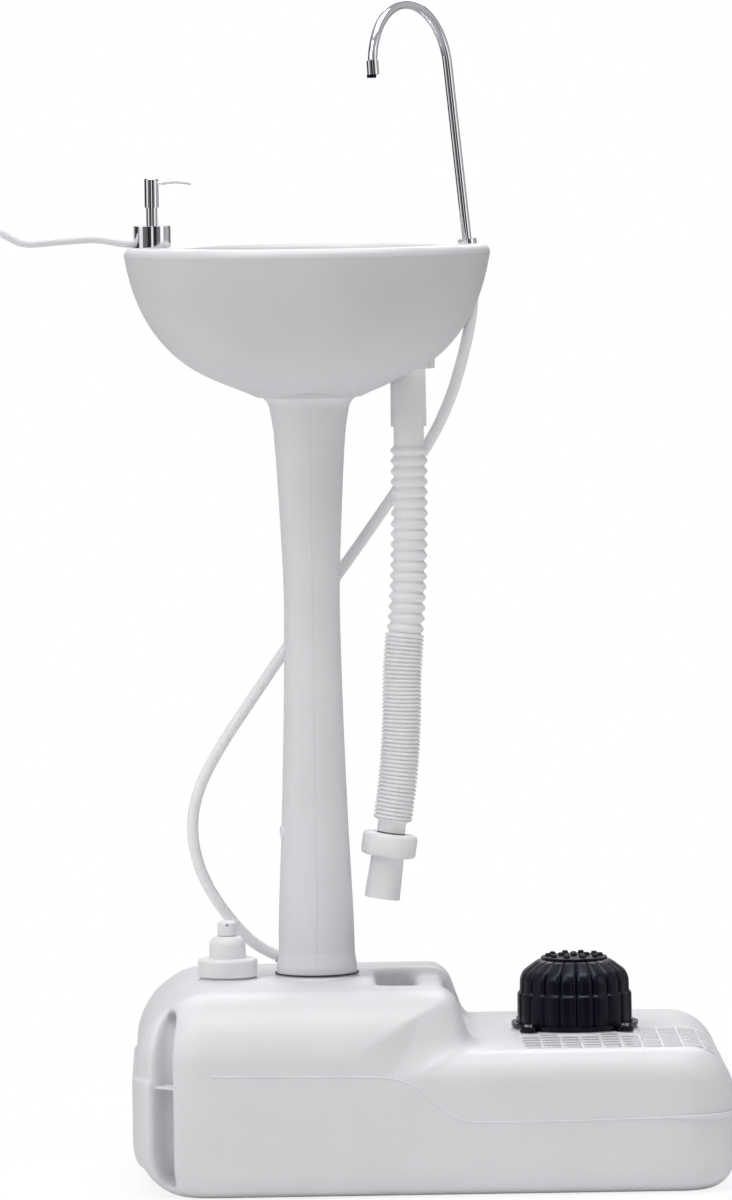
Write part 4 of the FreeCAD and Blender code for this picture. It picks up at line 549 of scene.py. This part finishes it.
def tank_distance(x, y, z):
    """Signed distance to the tank's skin."""
    d = tank_body(x, y, z)
    trough = corner_box(x - TROUGH_X, y, TROUGH_HALF_X, TROUGH_HALF_Y, TROUGH_CORNERS)
    d = soft_max(d, -soft_max(trough, TROUGH_FLOOR - z, TROUGH_FLOOR_EDGE), TROUGH_EDGE)
    bar = corner_box(x - BAR_X, z - BAR_Z, BAR_HALF_X, BAR_HALF_Z, BAR_CORNERS)
    d = soft_min(d, np.maximum(bar, np.abs(y) - BAR_HALF_Y), BAR_HOLLOW)
    for side in (-1, 1):
        d = soft_max(d, -groove(x, y, z, side), GROOVE_EDGE)
    for place, seat in ((COLUMN_PLACE, SPIGOT), (CAP_PLACE, CAP_SEAT), (CAP_PLACE, NECK)):
        d = soft_min(d, upright(x, y, z, place, 0.0, *seat), seat[-1])
    d = np.maximum(d, -np.maximum(np.hypot(x - CAP_PLACE, y) - NECK_BORE, NECK_BORE_BOTTOM - z))
    pad = upright(x, y, z, PUMP_PLACE, 0.0, *PUMP_SEAT)
    for k in range(PUMP_LUGS):
        a = math.pi / 4 + k * math.pi / 2
        lug_x, lug_y = PUMP_PLACE + PUMP_LUG_CIRCLE * math.cos(a), PUMP_LUG_CIRCLE * math.sin(a)
        pad = np.minimum(pad, upright(x, y, z, lug_x, lug_y, *PUMP_LUG))
    return soft_min(d, pad, PUMP_SEAT[-1])


def net(distance, low, high, step):
    """The zero level of a distance, as a mesh of quads with one vertex in each cell that it crosses."""
    axes = [np.arange(a, b + step, step) for a, b in zip(low, high)]
    x, y, z = np.meshgrid(*axes, indexing="ij")
    inside = distance(x, y, z) < 0
    nx, ny, nz = (size - 1 for size in inside.shape)
    count = sum(inside[i:nx + i, j:ny + j, k:nz + k].astype(np.int8)
                for i in (0, 1) for j in (0, 1) for k in (0, 1))
    crossed = (count > 0) & (count < 8)
    index = np.full(crossed.shape, -1)
    index[crossed] = np.arange(crossed.sum())
    cells = np.argwhere(crossed)
    verts = np.stack([axes[k][cells[:, k]] + step / 2 for k in range(3)], axis=1)
    faces = []
    for axis in range(3):
        u, v = (axis + 1) % 3, (axis + 2) % 3
        first = np.take(inside, range(inside.shape[axis] - 1), axis)
        second = np.take(inside, range(1, inside.shape[axis]), axis)
        places = np.argwhere(first != second)
        keep = (places[:, u] > 0) & (places[:, v] > 0)
        keep &= (places[:, u] < crossed.shape[u]) & (places[:, v] < crossed.shape[v])
        places = places[keep]
        leaves = first[tuple(places.T)]
        corners = []
        for du, dv in ((1, 1), (0, 1), (0, 0), (1, 0)):
            cell = places.copy()
            cell[:, u] -= du
            cell[:, v] -= dv
            corners.append(index[tuple(cell.T)])
        quad = np.stack(corners, axis=1)
        quad[~leaves] = quad[~leaves][:, ::-1]
        faces.append(quad)
    return verts, np.concatenate(faces)


SLOPE_REACH, LEAST_SLOPE, LONGEST_STEP = 0.02, 0.05, 2.5


def settle(distance, verts, rounds=6):
    """Moves points on to the zero level along its slope, and returns them with the slope."""
    for _ in range(rounds):
        level = distance(*verts.T)
        steps = SLOPE_REACH * np.eye(3)
        slope = np.stack([distance(*(verts + step).T) - distance(*(verts - step).T) for step in steps], axis=1)
        slope = slope / (2 * SLOPE_REACH)
        size = np.maximum((slope ** 2).sum(axis=1), LEAST_SLOPE)
        verts = verts - np.clip(level / size, -LONGEST_STEP, LONGEST_STEP)[:, None] * slope
    return verts, slope / np.linalg.norm(slope, axis=1)[:, None]


def relax(verts, faces):
    """Moves each of a mesh's points halfway to the middle of its neighbours."""
    pairs = np.concatenate([faces[:, (k, (k + 1) % 4)] for k in range(4)])
    total = np.zeros(len(verts))
    np.add.at(total, pairs[:, 0], 1)
    np.add.at(total, pairs[:, 1], 1)
    middle = np.zeros_like(verts)
    for k in range(3):
        middle[:, k] = np.bincount(pairs[:, 0], verts[pairs[:, 1], k], len(verts))
        middle[:, k] += np.bincount(pairs[:, 1], verts[pairs[:, 0], k], len(verts))
    return verts * 0.5 + middle / total[:, None] * 0.5


NET_STEP, NET_MARGIN, NET_BOTTOM, NET_TOP = 3.0, 8, -6, 194


def make_tank():
    low = (LEFT - NET_MARGIN, -HALF_WIDTH - NET_MARGIN, NET_BOTTOM)
    high = (RIGHT + NET_MARGIN, HALF_WIDTH + NET_MARGIN, NET_TOP)
    verts, faces = net(tank_distance, low, high, NET_STEP)
    for _ in range(3):
        verts, _ = settle(tank_distance, verts, 2)
        verts = relax(verts, faces)
    verts, _ = settle(tank_distance, verts)
    verts[:, 2] = np.maximum(verts[:, 2], 0.0)
    mesh = bpy.data.meshes.new("tank_skin")
    mesh.from_pydata((verts * MM).tolist(), [], faces.tolist())
    mesh.update()
    mesh.materials.append(GREY)
    for face in mesh.polygons:
        face.use_smooth = True
    tank = bpy.data.objects.new("tank_skin", mesh)
    scene.collection.objects.link(tank)
    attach(tank, "stand")
    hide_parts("tank")


make_tank()


# What is moulded on the tank

SEAM_RADIUS, SEAM_SUNK, SEAM_STEP = 0.9, 0.3, 3.0
SEAM_LINE = ((-190, 107), (-150, 106.5), (-72, 105.3), (-44, 104.5), (-30, 102), (-20, 98), (-10, 90.8),
             (0, 81.2), (10, 73.1), (20, 68), (30, 65), (40, 64.2), (90, 64.2), (140, 64.4), (222, 66))


def surface_bead(name, points):
    """A fine raised moulding line that follows the tank's skin through the points."""
    points = np.array(points, float)
    steps = np.concatenate(([0], np.cumsum(np.linalg.norm(np.diff(points, axis=0), axis=1))))
    walk = np.arange(0, steps[-1], SEAM_STEP)
    line = np.stack([np.interp(walk, steps, points[:, k]) for k in range(3)], axis=1)
    line, slope = settle(tank_distance, line)
    data = bpy.data.curves.new(name, "CURVE")
    data.dimensions = "3D"
    data.bevel_depth = SEAM_RADIUS * MM
    data.bevel_resolution = 2
    data.use_fill_caps = True
    spline = data.splines.new("POLY")
    spline.points.add(len(line) - 1)
    for point, place, out in zip(spline.points, line, slope):
        point.co = (*((place - out * SEAM_RADIUS * SEAM_SUNK) * MM), 1)
    data.materials.append(GREY)
    bead = bpy.data.objects.new(name, data)
    scene.collection.objects.link(bead)
    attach(bead, "stand")


def make_seams():
    """The line where the tank's two shells meet, in front and at the back."""
    bend = Line(read_line([(x * MM, 0, z * MM) for x, z in SEAM_LINE])).points * 1000
    for name, side in (("seam_front", -1), ("seam_back", 1)):
        surface_bead(name, [(x, side * (HALF_WIDTH + 1), z) for x, _, z in bend])


def make_webs():
    """The thin webs across the grooves, with a hollow front edge."""
    steps = 6
    for name, side in (("groove_web_front", -1), ("groove_web_back", 1)):
        out = Vector((-math.cos(GROOVE_TURN), side * math.sin(GROOVE_TURN), 0))
        along = Vector((math.sin(GROOVE_TURN), side * math.cos(GROOVE_TURN), 0))
        corner = Vector((GROOVE_X, side * GROOVE_Y, WEB_BOTTOM))
        edge = [(WEB_BACK, WEB_HALF), (WEB_BACK, -WEB_HALF)]
        edge += [(WEB_FRONT + WEB_HOLLOW * (k / steps) ** 2, WEB_HALF / steps * k) for k in range(-steps, steps + 1)]
        loop = [corner + out * o + along * a for o, a in edge]
        verts = [v * MM for v in loop] + [(v + Vector((0, 0, WEB_THICKNESS))) * MM for v in loop]
        count = len(loop)
        faces = [(k, (k + 1) % count, count + (k + 1) % count, count + k) for k in range(count)]
        faces += [tuple(range(count - 1, -1, -1)), tuple(range(count, 2 * count))]
        crease(piece(name, verts, faces, GREY, "stand", "grey_plastic"), 40)


FLANGE_START, FLANGE_BEND_X, FLANGE_BEND_Y, FLANGE_BEND = 190, 214, 130, 45
FLANGE_HEIGHT, FLANGE_PROUD, FLANGE_RUN = 66.0, 2.5, 34
FLANGE_LEAST, FLANGE_SWELL = 0.06, 0.8         # its least share along the run, and how soon it swells there
FLANGE_SHAPE = ((-1.2, -1.9), (0.5, -1.7), (0.9, -1.3), (1.0, -0.6), (1.0, 0.6), (0.9, 1.3), (0.5, 1.7), (-1.2, 1.9))


def make_end_flange():
    """The moulding flange round the right end, which runs out along the flanks."""
    outline = [(x, -HALF_WIDTH, 0.0, -1.0) for x in range(FLANGE_START, FLANGE_BEND_X, 3)]
    steps = 16
    for side in (-1, 1):
        for k in range(steps + 1):
            turn = math.pi / 2 / steps * (k if side > 0 else k - steps)
            outline.append((FLANGE_BEND_X + FLANGE_BEND * math.cos(turn),
                            side * FLANGE_BEND_Y + FLANGE_BEND * math.sin(turn), math.cos(turn), math.sin(turn)))
    outline += [(x, HALF_WIDTH, 0.0, 1.0) for x in range(FLANGE_BEND_X - 3, FLANGE_START - 1, -3)]
    verts = []
    for x, y, nx, ny in outline:
        proud = FLANGE_PROUD * min(max((x - FLANGE_START) / FLANGE_RUN, FLANGE_LEAST), 1) ** FLANGE_SWELL
        for out, up in FLANGE_SHAPE:
            out = out * proud if out > 0 else out
            height = FLANGE_HEIGHT + up * (0.5 + proud / 5)
            verts.append(((x + nx * out) * MM, (y + ny * out) * MM, height * MM))
    rows, count = len(outline), len(FLANGE_SHAPE)
    faces = grid_faces(rows, count)
    faces += [tuple(range(count)), tuple((rows - 1) * count + c for c in range(count))]
    crease(piece("end_flange", verts, faces, GREY, "stand", "grey_plastic"), 50)


PAD_COLUMNS, PAD_ROWS, PAD_FIRST, PAD_PITCH = 10, 7, (86.0, -137.5), (17.3, 19.6)
PAD_HALF_X, PAD_HALF_Y, PAD_CORNER = 7.6, 6.2, 1.6
PAD_RINGS = ((1.0, -0.5), (1.0, 0.7), (0.96, 1.6), (0.9, 1.8), (0.5, 1.8))     # share of its size, height
PUMP_CLEARANCE, LUG_CLEARANCE, LUG_SIDE = 64.0, 19.0, 41.7


def make_grip():
    """Low pads in rows, moulded on the tank's low top for the foot that works the pump."""
    loop = []
    for sx, sy in ((1, -1), (1, 1), (-1, 1), (-1, -1)):
        first, second = (PAD_HALF_X, PAD_HALF_Y - PAD_CORNER), (PAD_HALF_X - PAD_CORNER, PAD_HALF_Y)
        pair = (first, second) if sx * sy > 0 else (second, first)
        loop += [(sx * px, sy * py) for px, py in pair]
    count, rings = len(loop), len(PAD_RINGS)
    flat, lift, faces = [], [], []
    for column in range(PAD_COLUMNS):
        for row in range(PAD_ROWS):
            cx, cy = PAD_FIRST[0] + PAD_PITCH[0] * column, PAD_FIRST[1] + PAD_PITCH[1] * row
            lug = math.hypot(abs(cx - PUMP_PLACE) - LUG_SIDE, abs(cy) - LUG_SIDE)
            if math.hypot(cx - PUMP_PLACE, cy) < PUMP_CLEARANCE or lug < LUG_CLEARANCE:
                continue
            start = len(flat)
            for share, height in PAD_RINGS:
                flat += [(cx + px * share, cy + py * share, LOW) for px, py in loop]
                lift += [height] * count
            faces += [tuple(start + i for i in face) for face in grid_faces(rings, count)]
            faces.append(tuple(start + (rings - 1) * count + c for c in range(count)))
    places, out = settle(tank_distance, np.array(flat))
    verts = (places + out * np.array(lift)[:, None]) * MM
    crease(piece("grip_pads", verts, faces, POLISHED, "stand", "grey_plastic"), 18)


make_seams()
make_webs()
make_end_flange()
make_grip()


# Column

COLUMN_SEAMS = (("column_seam_front", -91.0), ("column_seam_back", 89.0))      # bearing in degrees
COLUMN_SEAM_BOTTOM, COLUMN_SEAM_HEIGHT, COLUMN_SEAM_ROWS = 0.186, 0.488, 121
COLUMN_SEAM_SHAPE = ((-0.0009, -0.0004), (-0.0004, 0.0005), (0.0004, 0.0005), (0.0009, -0.0004))   # across, proud
SEGMENTS = 96
# A thin dark ring of seal rubber at the column's foot: painted shadow of the gap between the column and its spigot.
JOINT_SHADOW_RING = ((0.0, 0.177), (0.0368, 0.177), (0.0368, 0.1779), (0.0, 0.1779))
SKIRT = ((0.0, 0.6807), (0.0424, 0.6807), (0.0431, 0.6822), (0.0446, 0.6842), (0.0472, 0.6862), (0.0, 0.6862))


def make_column_details():
    """The mould seams on the column, a thin dark ring at its foot as painted shadow of the gap there, and the skirt
    under the basin.
    """
    column = NODES["column"]
    for name, bearing in COLUMN_SEAMS:
        way = Vector((math.cos(math.radians(bearing)), math.sin(math.radians(bearing)), 0))
        side = Vector((-way.y, way.x, 0))
        verts = []
        for k in range(COLUMN_SEAM_ROWS):
            height = COLUMN_SEAM_BOTTOM + COLUMN_SEAM_HEIGHT * k / (COLUMN_SEAM_ROWS - 1)
            axis = Vector((COLUMN_X, 0, height))
            start = axis + way * 0.1
            _, place, _, _ = column.ray_cast(column.matrix_world.inverted() @ start, -way)
            radius = (column.matrix_world @ place - axis).length
            verts += [axis + way * (radius + proud) + side * across for across, proud in COLUMN_SEAM_SHAPE]
        faces = grid_faces(COLUMN_SEAM_ROWS, len(COLUMN_SEAM_SHAPE), wrap=False)
        crease(piece(name, verts, faces, GREY, "stand", "grey_plastic"), 60)
    # The dark ring is painted shadow of the gap at the column's foot.
    piece("column_joint_shadow", *spun(JOINT_SHADOW_RING, SEGMENTS, COLUMN_X), SEAL, "stand", "seal_rubber", smooth=False)
    piece("basin_skirt", *spun(SKIRT, SEGMENTS, COLUMN_X), BASIN_SHADED_GREY, "stand", "grey_plastic")


make_column_details()


# Spout, towel bar and soap collar

SPOUT_MOUTH = (-0.0403, -0.0881)
AERATOR = ((0.0, 0.9579), (0.0036, 0.9579), (0.0042, 0.9586), (0.0042, 0.9606), (0.0, 0.9606))
RING_RADIUS, BAR_SHIFT = 0.0188, 0.0034
SLEEVE_RADIUS, SLEEVE_BORE = 0.0161, 0.01555
SLEEVES = (("soap_skirt", 0.8127, 0.8206, "towel_arm"), ("soap_sleeve", 0.8207, 0.8314, "stand"))


def make_aerator():
    """The dark insert in the spout's mouth."""
    crease(piece("aerator", *spun(AERATOR, 48, *SPOUT_MOUTH), BLACK, "spout", "black_plastic"), 30)


def make_towel_bar():
    """The bar as built without its ring, which a bright skirt of the soap dispenser's collar stands for."""
    source = NODES["towel_bar"]
    bm = bmesh.new()
    bm.from_mesh(source.data)
    bm.transform(source.matrix_world)
    ring = {v for v in bm.verts if math.hypot(v.co.x - SOAP_X, v.co.y) < RING_RADIUS}
    bmesh.ops.delete(bm, geom=[f for f in bm.faces if all(v in ring for v in f.verts)], context="FACES")
    for v in bm.verts:
        if v in ring and v.link_faces:
            v.co.x += BAR_SHIFT
    bmesh.ops.delete(bm, geom=[v for v in bm.verts if not v.link_faces], context="VERTS")
    mesh = bpy.data.meshes.new("towel_bar_skin")
    bm.to_mesh(mesh)
    bm.free()
    mesh.materials.clear()
    mesh.materials.append(GREY)
    for face in mesh.polygons:
        face.material_index = 0
        face.use_smooth = True
    bar = bpy.data.objects.new("towel_bar_skin", mesh)
    scene.collection.objects.link(bar)
    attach(bar, "towel_arm")
    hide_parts("towel_bar")


def make_sleeves():
    """The bright skirt that turns with the towel bar, and the sleeve over it, as one column."""
    angles = [2 * math.pi * k / SEGMENTS for k in range(SEGMENTS)]
    for name, low, high, body in SLEEVES:
        verts = []
        for radius, height in ((SLEEVE_BORE, low), (SLEEVE_RADIUS, low), (SLEEVE_RADIUS, high), (SLEEVE_BORE, high)):
            verts += [(SOAP_X + radius * math.cos(angle), radius * math.sin(angle), height) for angle in angles]
        last = 3 * SEGMENTS
        faces = grid_faces(4, SEGMENTS)
        for k in range(SEGMENTS):
            after = (k + 1) % SEGMENTS
            faces.append((k, after, last + after, last + k))
        crease(piece(name, verts, faces, CHROME, body, "chrome"), 30)


make_aerator()
make_towel_bar()
make_sleeves()


# Pump and springs

BELLOWS_OUTLINE = ((0.0503, 0.128, 0), (0.0500, 0.1565, 0.002), (0.0480, 0.1580, 0.001), (0.0478, 0.1690, 0.003),
                   (0.0452, 0.1755, 0.005), (0.0330, 0.1845, 0.003), (0.0290, 0.1860, 0))
PLEATS, STEPS_PER_PLEAT = 20, 14
LOW_PLEAT, HIGH_PLEAT = 0.0022, 0.0026
LOW_TIER_TOP, CROWN_BOTTOM, CROWN_HEIGHT = 0.1585, 0.175, 0.011
TREAD_OUTLINE = ((0, 0.1860, 0), (0.0290, 0.1860, 0.0004), (0.0290, 0.1882, 0.0012), (0, 0.1882, 0))
STUD_OUTLINE = ((0, 0.1875, 0), (0.0031, 0.1875, 0), (0.0023, 0.1910, 0.0009), (0, 0.1910, 0))
STUD_CIRCLES = ((1, 0.0, 0.0), (10, 0.0225, 0.0), (5, 0.0115, 0.3))            # count, radius, first angle
COIL_STEPS = 20                                                                # in a turn


def make_bellows():
    """A pleated rubber dome with two tiers, which stands under the tread."""
    outline = rounded_profile(BELLOWS_OUTLINE)
    segments = PLEATS * STEPS_PER_PLEAT
    verts = []
    for radius, height in outline:
        depth = LOW_PLEAT if height < LOW_TIER_TOP else HIGH_PLEAT
        if height > CROWN_BOTTOM:
            depth = HIGH_PLEAT * (1 - 0.5 * (height - CROWN_BOTTOM) / CROWN_HEIGHT)
        for s in range(segments):
            u = (s % STEPS_PER_PLEAT) / STEPS_PER_PLEAT
            r = radius - depth * abs(2 * u - 1) ** 5
            angle = 2 * math.pi * s / segments
            verts.append((PUMP_X + r * math.cos(angle), r * math.sin(angle), height))
    faces = grid_faces(len(outline), segments)
    verts.append((PUMP_X, 0, BELLOWS_OUTLINE[-1][1]))
    hub, last = len(verts) - 1, (len(outline) - 1) * segments
    faces += [(last + s, last + (s + 1) % segments, hub) for s in range(segments)]
    skin = piece("bellows_skin", verts, faces, RUBBER, "stand", "black_rubber")
    crease(skin, 50)
    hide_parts("pump_bellows")
    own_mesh(skin)


def make_coil(name, node, radius, wire, low, high, turns, x):
    """A wire spring in place of a plain sleeve."""
    steps = turns * COIL_STEPS
    rise = high - low - 2 * wire
    rows = []
    for k in range(steps + 1):
        t = k / steps
        angle = 2 * math.pi * turns * t
        rows.append((x + radius * math.cos(angle), radius * math.sin(angle), low + wire + rise * t))
    line = Line(np.array(rows))
    verts, faces = line.tube(line.reach, [wire] * len(line.reach), 8)
    spring = piece(name, verts, faces, STEEL, "stand", "steel")
    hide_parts(node)
    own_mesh(spring)


def make_tread():
    """The tread plate with its blunt studs."""
    verts, faces = spun(rounded_profile(TREAD_OUTLINE), 64, PUMP_X)
    for count, circle, first in STUD_CIRCLES:
        for k in range(count):
            angle = 2 * math.pi * k / count + first
            x, y = PUMP_X + circle * math.cos(angle), circle * math.sin(angle)
            stud_verts, stud_faces = spun(rounded_profile(STUD_OUTLINE, 3), 14, x, y)
            start = len(verts)
            verts += stud_verts
            faces += [tuple(start + i for i in face) for face in stud_faces]
    tread = piece("tread_skin", verts, faces, RUBBER, "pump_press_body", "black_rubber")
    crease(tread, 45)
    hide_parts("pump_tread")


make_bellows()
make_coil("pump_coil", "pump_spring", radius=0.0188, wire=0.0011, low=0.109, high=0.1834, turns=7,
          x=PUMP_X)
make_coil("soap_coil", "soap_spring", radius=0.0048, wire=0.0005, low=0.8065, high=0.8235, turns=6,
          x=SOAP_X)
make_tread()


# Light, floor and background

GLOW = 0.212
# What bright metal mirrors: bearing from the front in degrees (left is below zero), and its light
MIRRORED = ((-180, 0.5), (-140, 0.42), (-128, 0.05), (-70, 0.02), (-58, 0.2), (-30, 0.13), (-24, 0.02), (-6, 0.03),
            (-3, 1.0), (6, 1.0), (9, 0.03), (24, 0.02), (34, 0.2), (80, 0.32), (96, 0.55), (120, 0.5), (138, 0.08),
            (160, 0.3), (180, 0.5))
MIRRORED_BLUE = 1.03
MIRRORED_CEILING = (0.46, 0.45, 0.48, 1)
CEILING_START, CEILING_FULL = 0.2, 0.6          # rise of the view over which the bands fade into it
FLOOR_WHITE, FLOOR_ROUGHNESS = (0.95, 0.95, 0.95, 1), 0.9
FLOOR_SIZE, FLOOR_DROP = 14.0, 0.0006
FADE_START, FADE_END, FADE_LEAST = 0.25, 0.8, 0.86
MIDDLE, LOWER = (-0.05, 0, 0.5), (-0.05, 0, 0.4)
# Name, place, what it points at, width, height and watts
LAMPS = (("above", (-0.1, -0.5, 3.4), LOWER, 2.6, 2.0, 76),
         ("upper_left", (-1.8, -2.0, 2.6), LOWER, 1.6, 1.6, 28.6),
         ("left", (-3.0, -0.8, 1.0), MIDDLE, 1.4, 2.4, 10.3),
         ("right", (2.8, -1.4, 1.2), MIDDLE, 1.4, 2.2, 10.0),
         ("back", (0.2, 2.4, 2.4), MIDDLE, 2.2, 1.6, 33.5))


def combine(tree, kind, *values):
    """A mathematics node of the given kind; a number or an output goes into each input."""
    node = tree.nodes.new("ShaderNodeMath")
    node.operation = kind
    for socket, value in zip(node.inputs, values):
        if isinstance(value, (int, float)):
            socket.default_value = value
        else:
            tree.links.new(value, socket)
    return node.outputs[0]


def blend_shaders(tree, share, first, second):
    """A mix of two shaders; share is the second's."""
    mix = tree.nodes.new("ShaderNodeMixShader")
    for socket, value in zip(mix.inputs, (share, first, second)):
        tree.links.new(value, socket)
    return mix.outputs[0]


def fade(tree, value, low, high, least=0.0, kind="LINEAR"):
    """Rises from least to 1 while value goes from low to high."""
    node = tree.nodes.new("ShaderNodeMapRange")
    node.interpolation_type = kind
    node.inputs["From Min"].default_value = low
    node.inputs["From Max"].default_value = high
    node.inputs["To Min"].default_value = least
    tree.links.new(value, node.inputs["Value"])
    return node.outputs[0]


def mirrored_room(tree):
    """The colour that bright metal mirrors in each direction: upright bands below, one tone above."""
    places = tree.nodes.new("ShaderNodeTexCoord")
    split = tree.nodes.new("ShaderNodeSeparateXYZ")
    tree.links.new(places.outputs["Generated"], split.inputs[0])
    ahead = combine(tree, "MULTIPLY", split.outputs["Y"], -1.0)
    bearing = combine(tree, "ARCTAN2", split.outputs["X"], ahead)
    turn = combine(tree, "MULTIPLY_ADD", bearing, 1 / (2 * math.pi), 0.5)
    ramp = tree.nodes.new("ShaderNodeValToRGB")
    stops = ramp.color_ramp.elements
    while len(stops) < len(MIRRORED):
        stops.new(0.5)
    for stop, (angle, light) in zip(stops, MIRRORED):
        stop.position = angle / 360 + 0.5
        stop.color = (light, light, light * MIRRORED_BLUE, 1)
    tree.links.new(turn, ramp.inputs[0])
    rise = fade(tree, combine(tree, "ABSOLUTE", split.outputs["Z"]), CEILING_START, CEILING_FULL)
    colour = tree.nodes.new("ShaderNodeMix")
    colour.data_type = "RGBA"
    colour.inputs[7].default_value = MIRRORED_CEILING
    tree.links.new(rise, colour.inputs[0])
    tree.links.new(ramp.outputs[0], colour.inputs[6])
    return colour.outputs[2]


def make_world():
    """White for the camera, a room of dark and light bands for reflections, and soft light for the rest."""
    world = bpy.data.worlds.new("studio")
    scene.world = world
    world.use_nodes = True
    tree = world.node_tree
    path = tree.nodes.new("ShaderNodeLightPath")
    glow = tree.nodes["Background"]
    glow.inputs["Color"].default_value = (1, 1, 1, 1)
    glow.inputs["Strength"].default_value = GLOW
    white = tree.nodes.new("ShaderNodeBackground")
    white.inputs["Color"].default_value = (1, 1, 1, 1)
    bands = tree.nodes.new("ShaderNodeBackground")
    tree.links.new(mirrored_room(tree), bands.inputs["Color"])
    lit = blend_shaders(tree, path.outputs["Is Glossy Ray"], glow.outputs[0], bands.outputs[0])
    whole = blend_shaders(tree, path.outputs["Is Camera Ray"], lit, white.outputs[0])
    tree.links.new(whole, tree.nodes["World Output"].inputs["Surface"])


def make_floor():
    """A pale floor that keeps the shadow near the stand and runs out to the white of the background."""
    material = bpy.data.materials.new("floor")
    material.use_nodes = True
    tree = material.node_tree
    shader = tree.nodes["Principled BSDF"]
    shader.inputs["Base Color"].default_value = FLOOR_WHITE
    shader.inputs["Roughness"].default_value = FLOOR_ROUGHNESS
    white = tree.nodes.new("ShaderNodeEmission")
    places = tree.nodes.new("ShaderNodeTexCoord")
    far = tree.nodes.new("ShaderNodeVectorMath")
    far.operation = "LENGTH"
    tree.links.new(places.outputs["Object"], far.inputs[0])
    faded = fade(tree, far.outputs["Value"], FADE_START, FADE_END, FADE_LEAST, "SMOOTHSTEP")
    path = tree.nodes.new("ShaderNodeLightPath")
    share = combine(tree, "MULTIPLY", path.outputs["Is Camera Ray"], faded)
    whole = blend_shaders(tree, share, shader.outputs[0], white.outputs[0])
    tree.links.new(whole, tree.nodes["Material Output"].inputs["Surface"])
    mesh = bpy.data.meshes.new("floor")
    corners = [(x * FLOOR_SIZE, y * FLOOR_SIZE, 0) for x, y in ((-1, -1), (1, -1), (1, 1), (-1, 1))]
    mesh.from_pydata(corners, [], [(0, 1, 2, 3)])
    mesh.materials.append(material)
    floor = bpy.data.objects.new("floor", mesh)
    floor.location.z = -FLOOR_DROP
    floor.visible_glossy = False
    scene.collection.objects.link(floor)


def make_lamps():
    for name, place, target, width, height, watts in LAMPS:
        data = bpy.data.lights.new(name, "AREA")
        data.shape = "RECTANGLE"
        data.size, data.size_y, data.energy = width, height, watts
        lamp = bpy.data.objects.new(name, data)
        lamp.location = place
        lamp.rotation_euler = (Vector(target) - Vector(place)).to_track_quat("-Z", "Y").to_euler()
        scene.collection.objects.link(lamp)


make_world()
make_floor()
make_lamps()
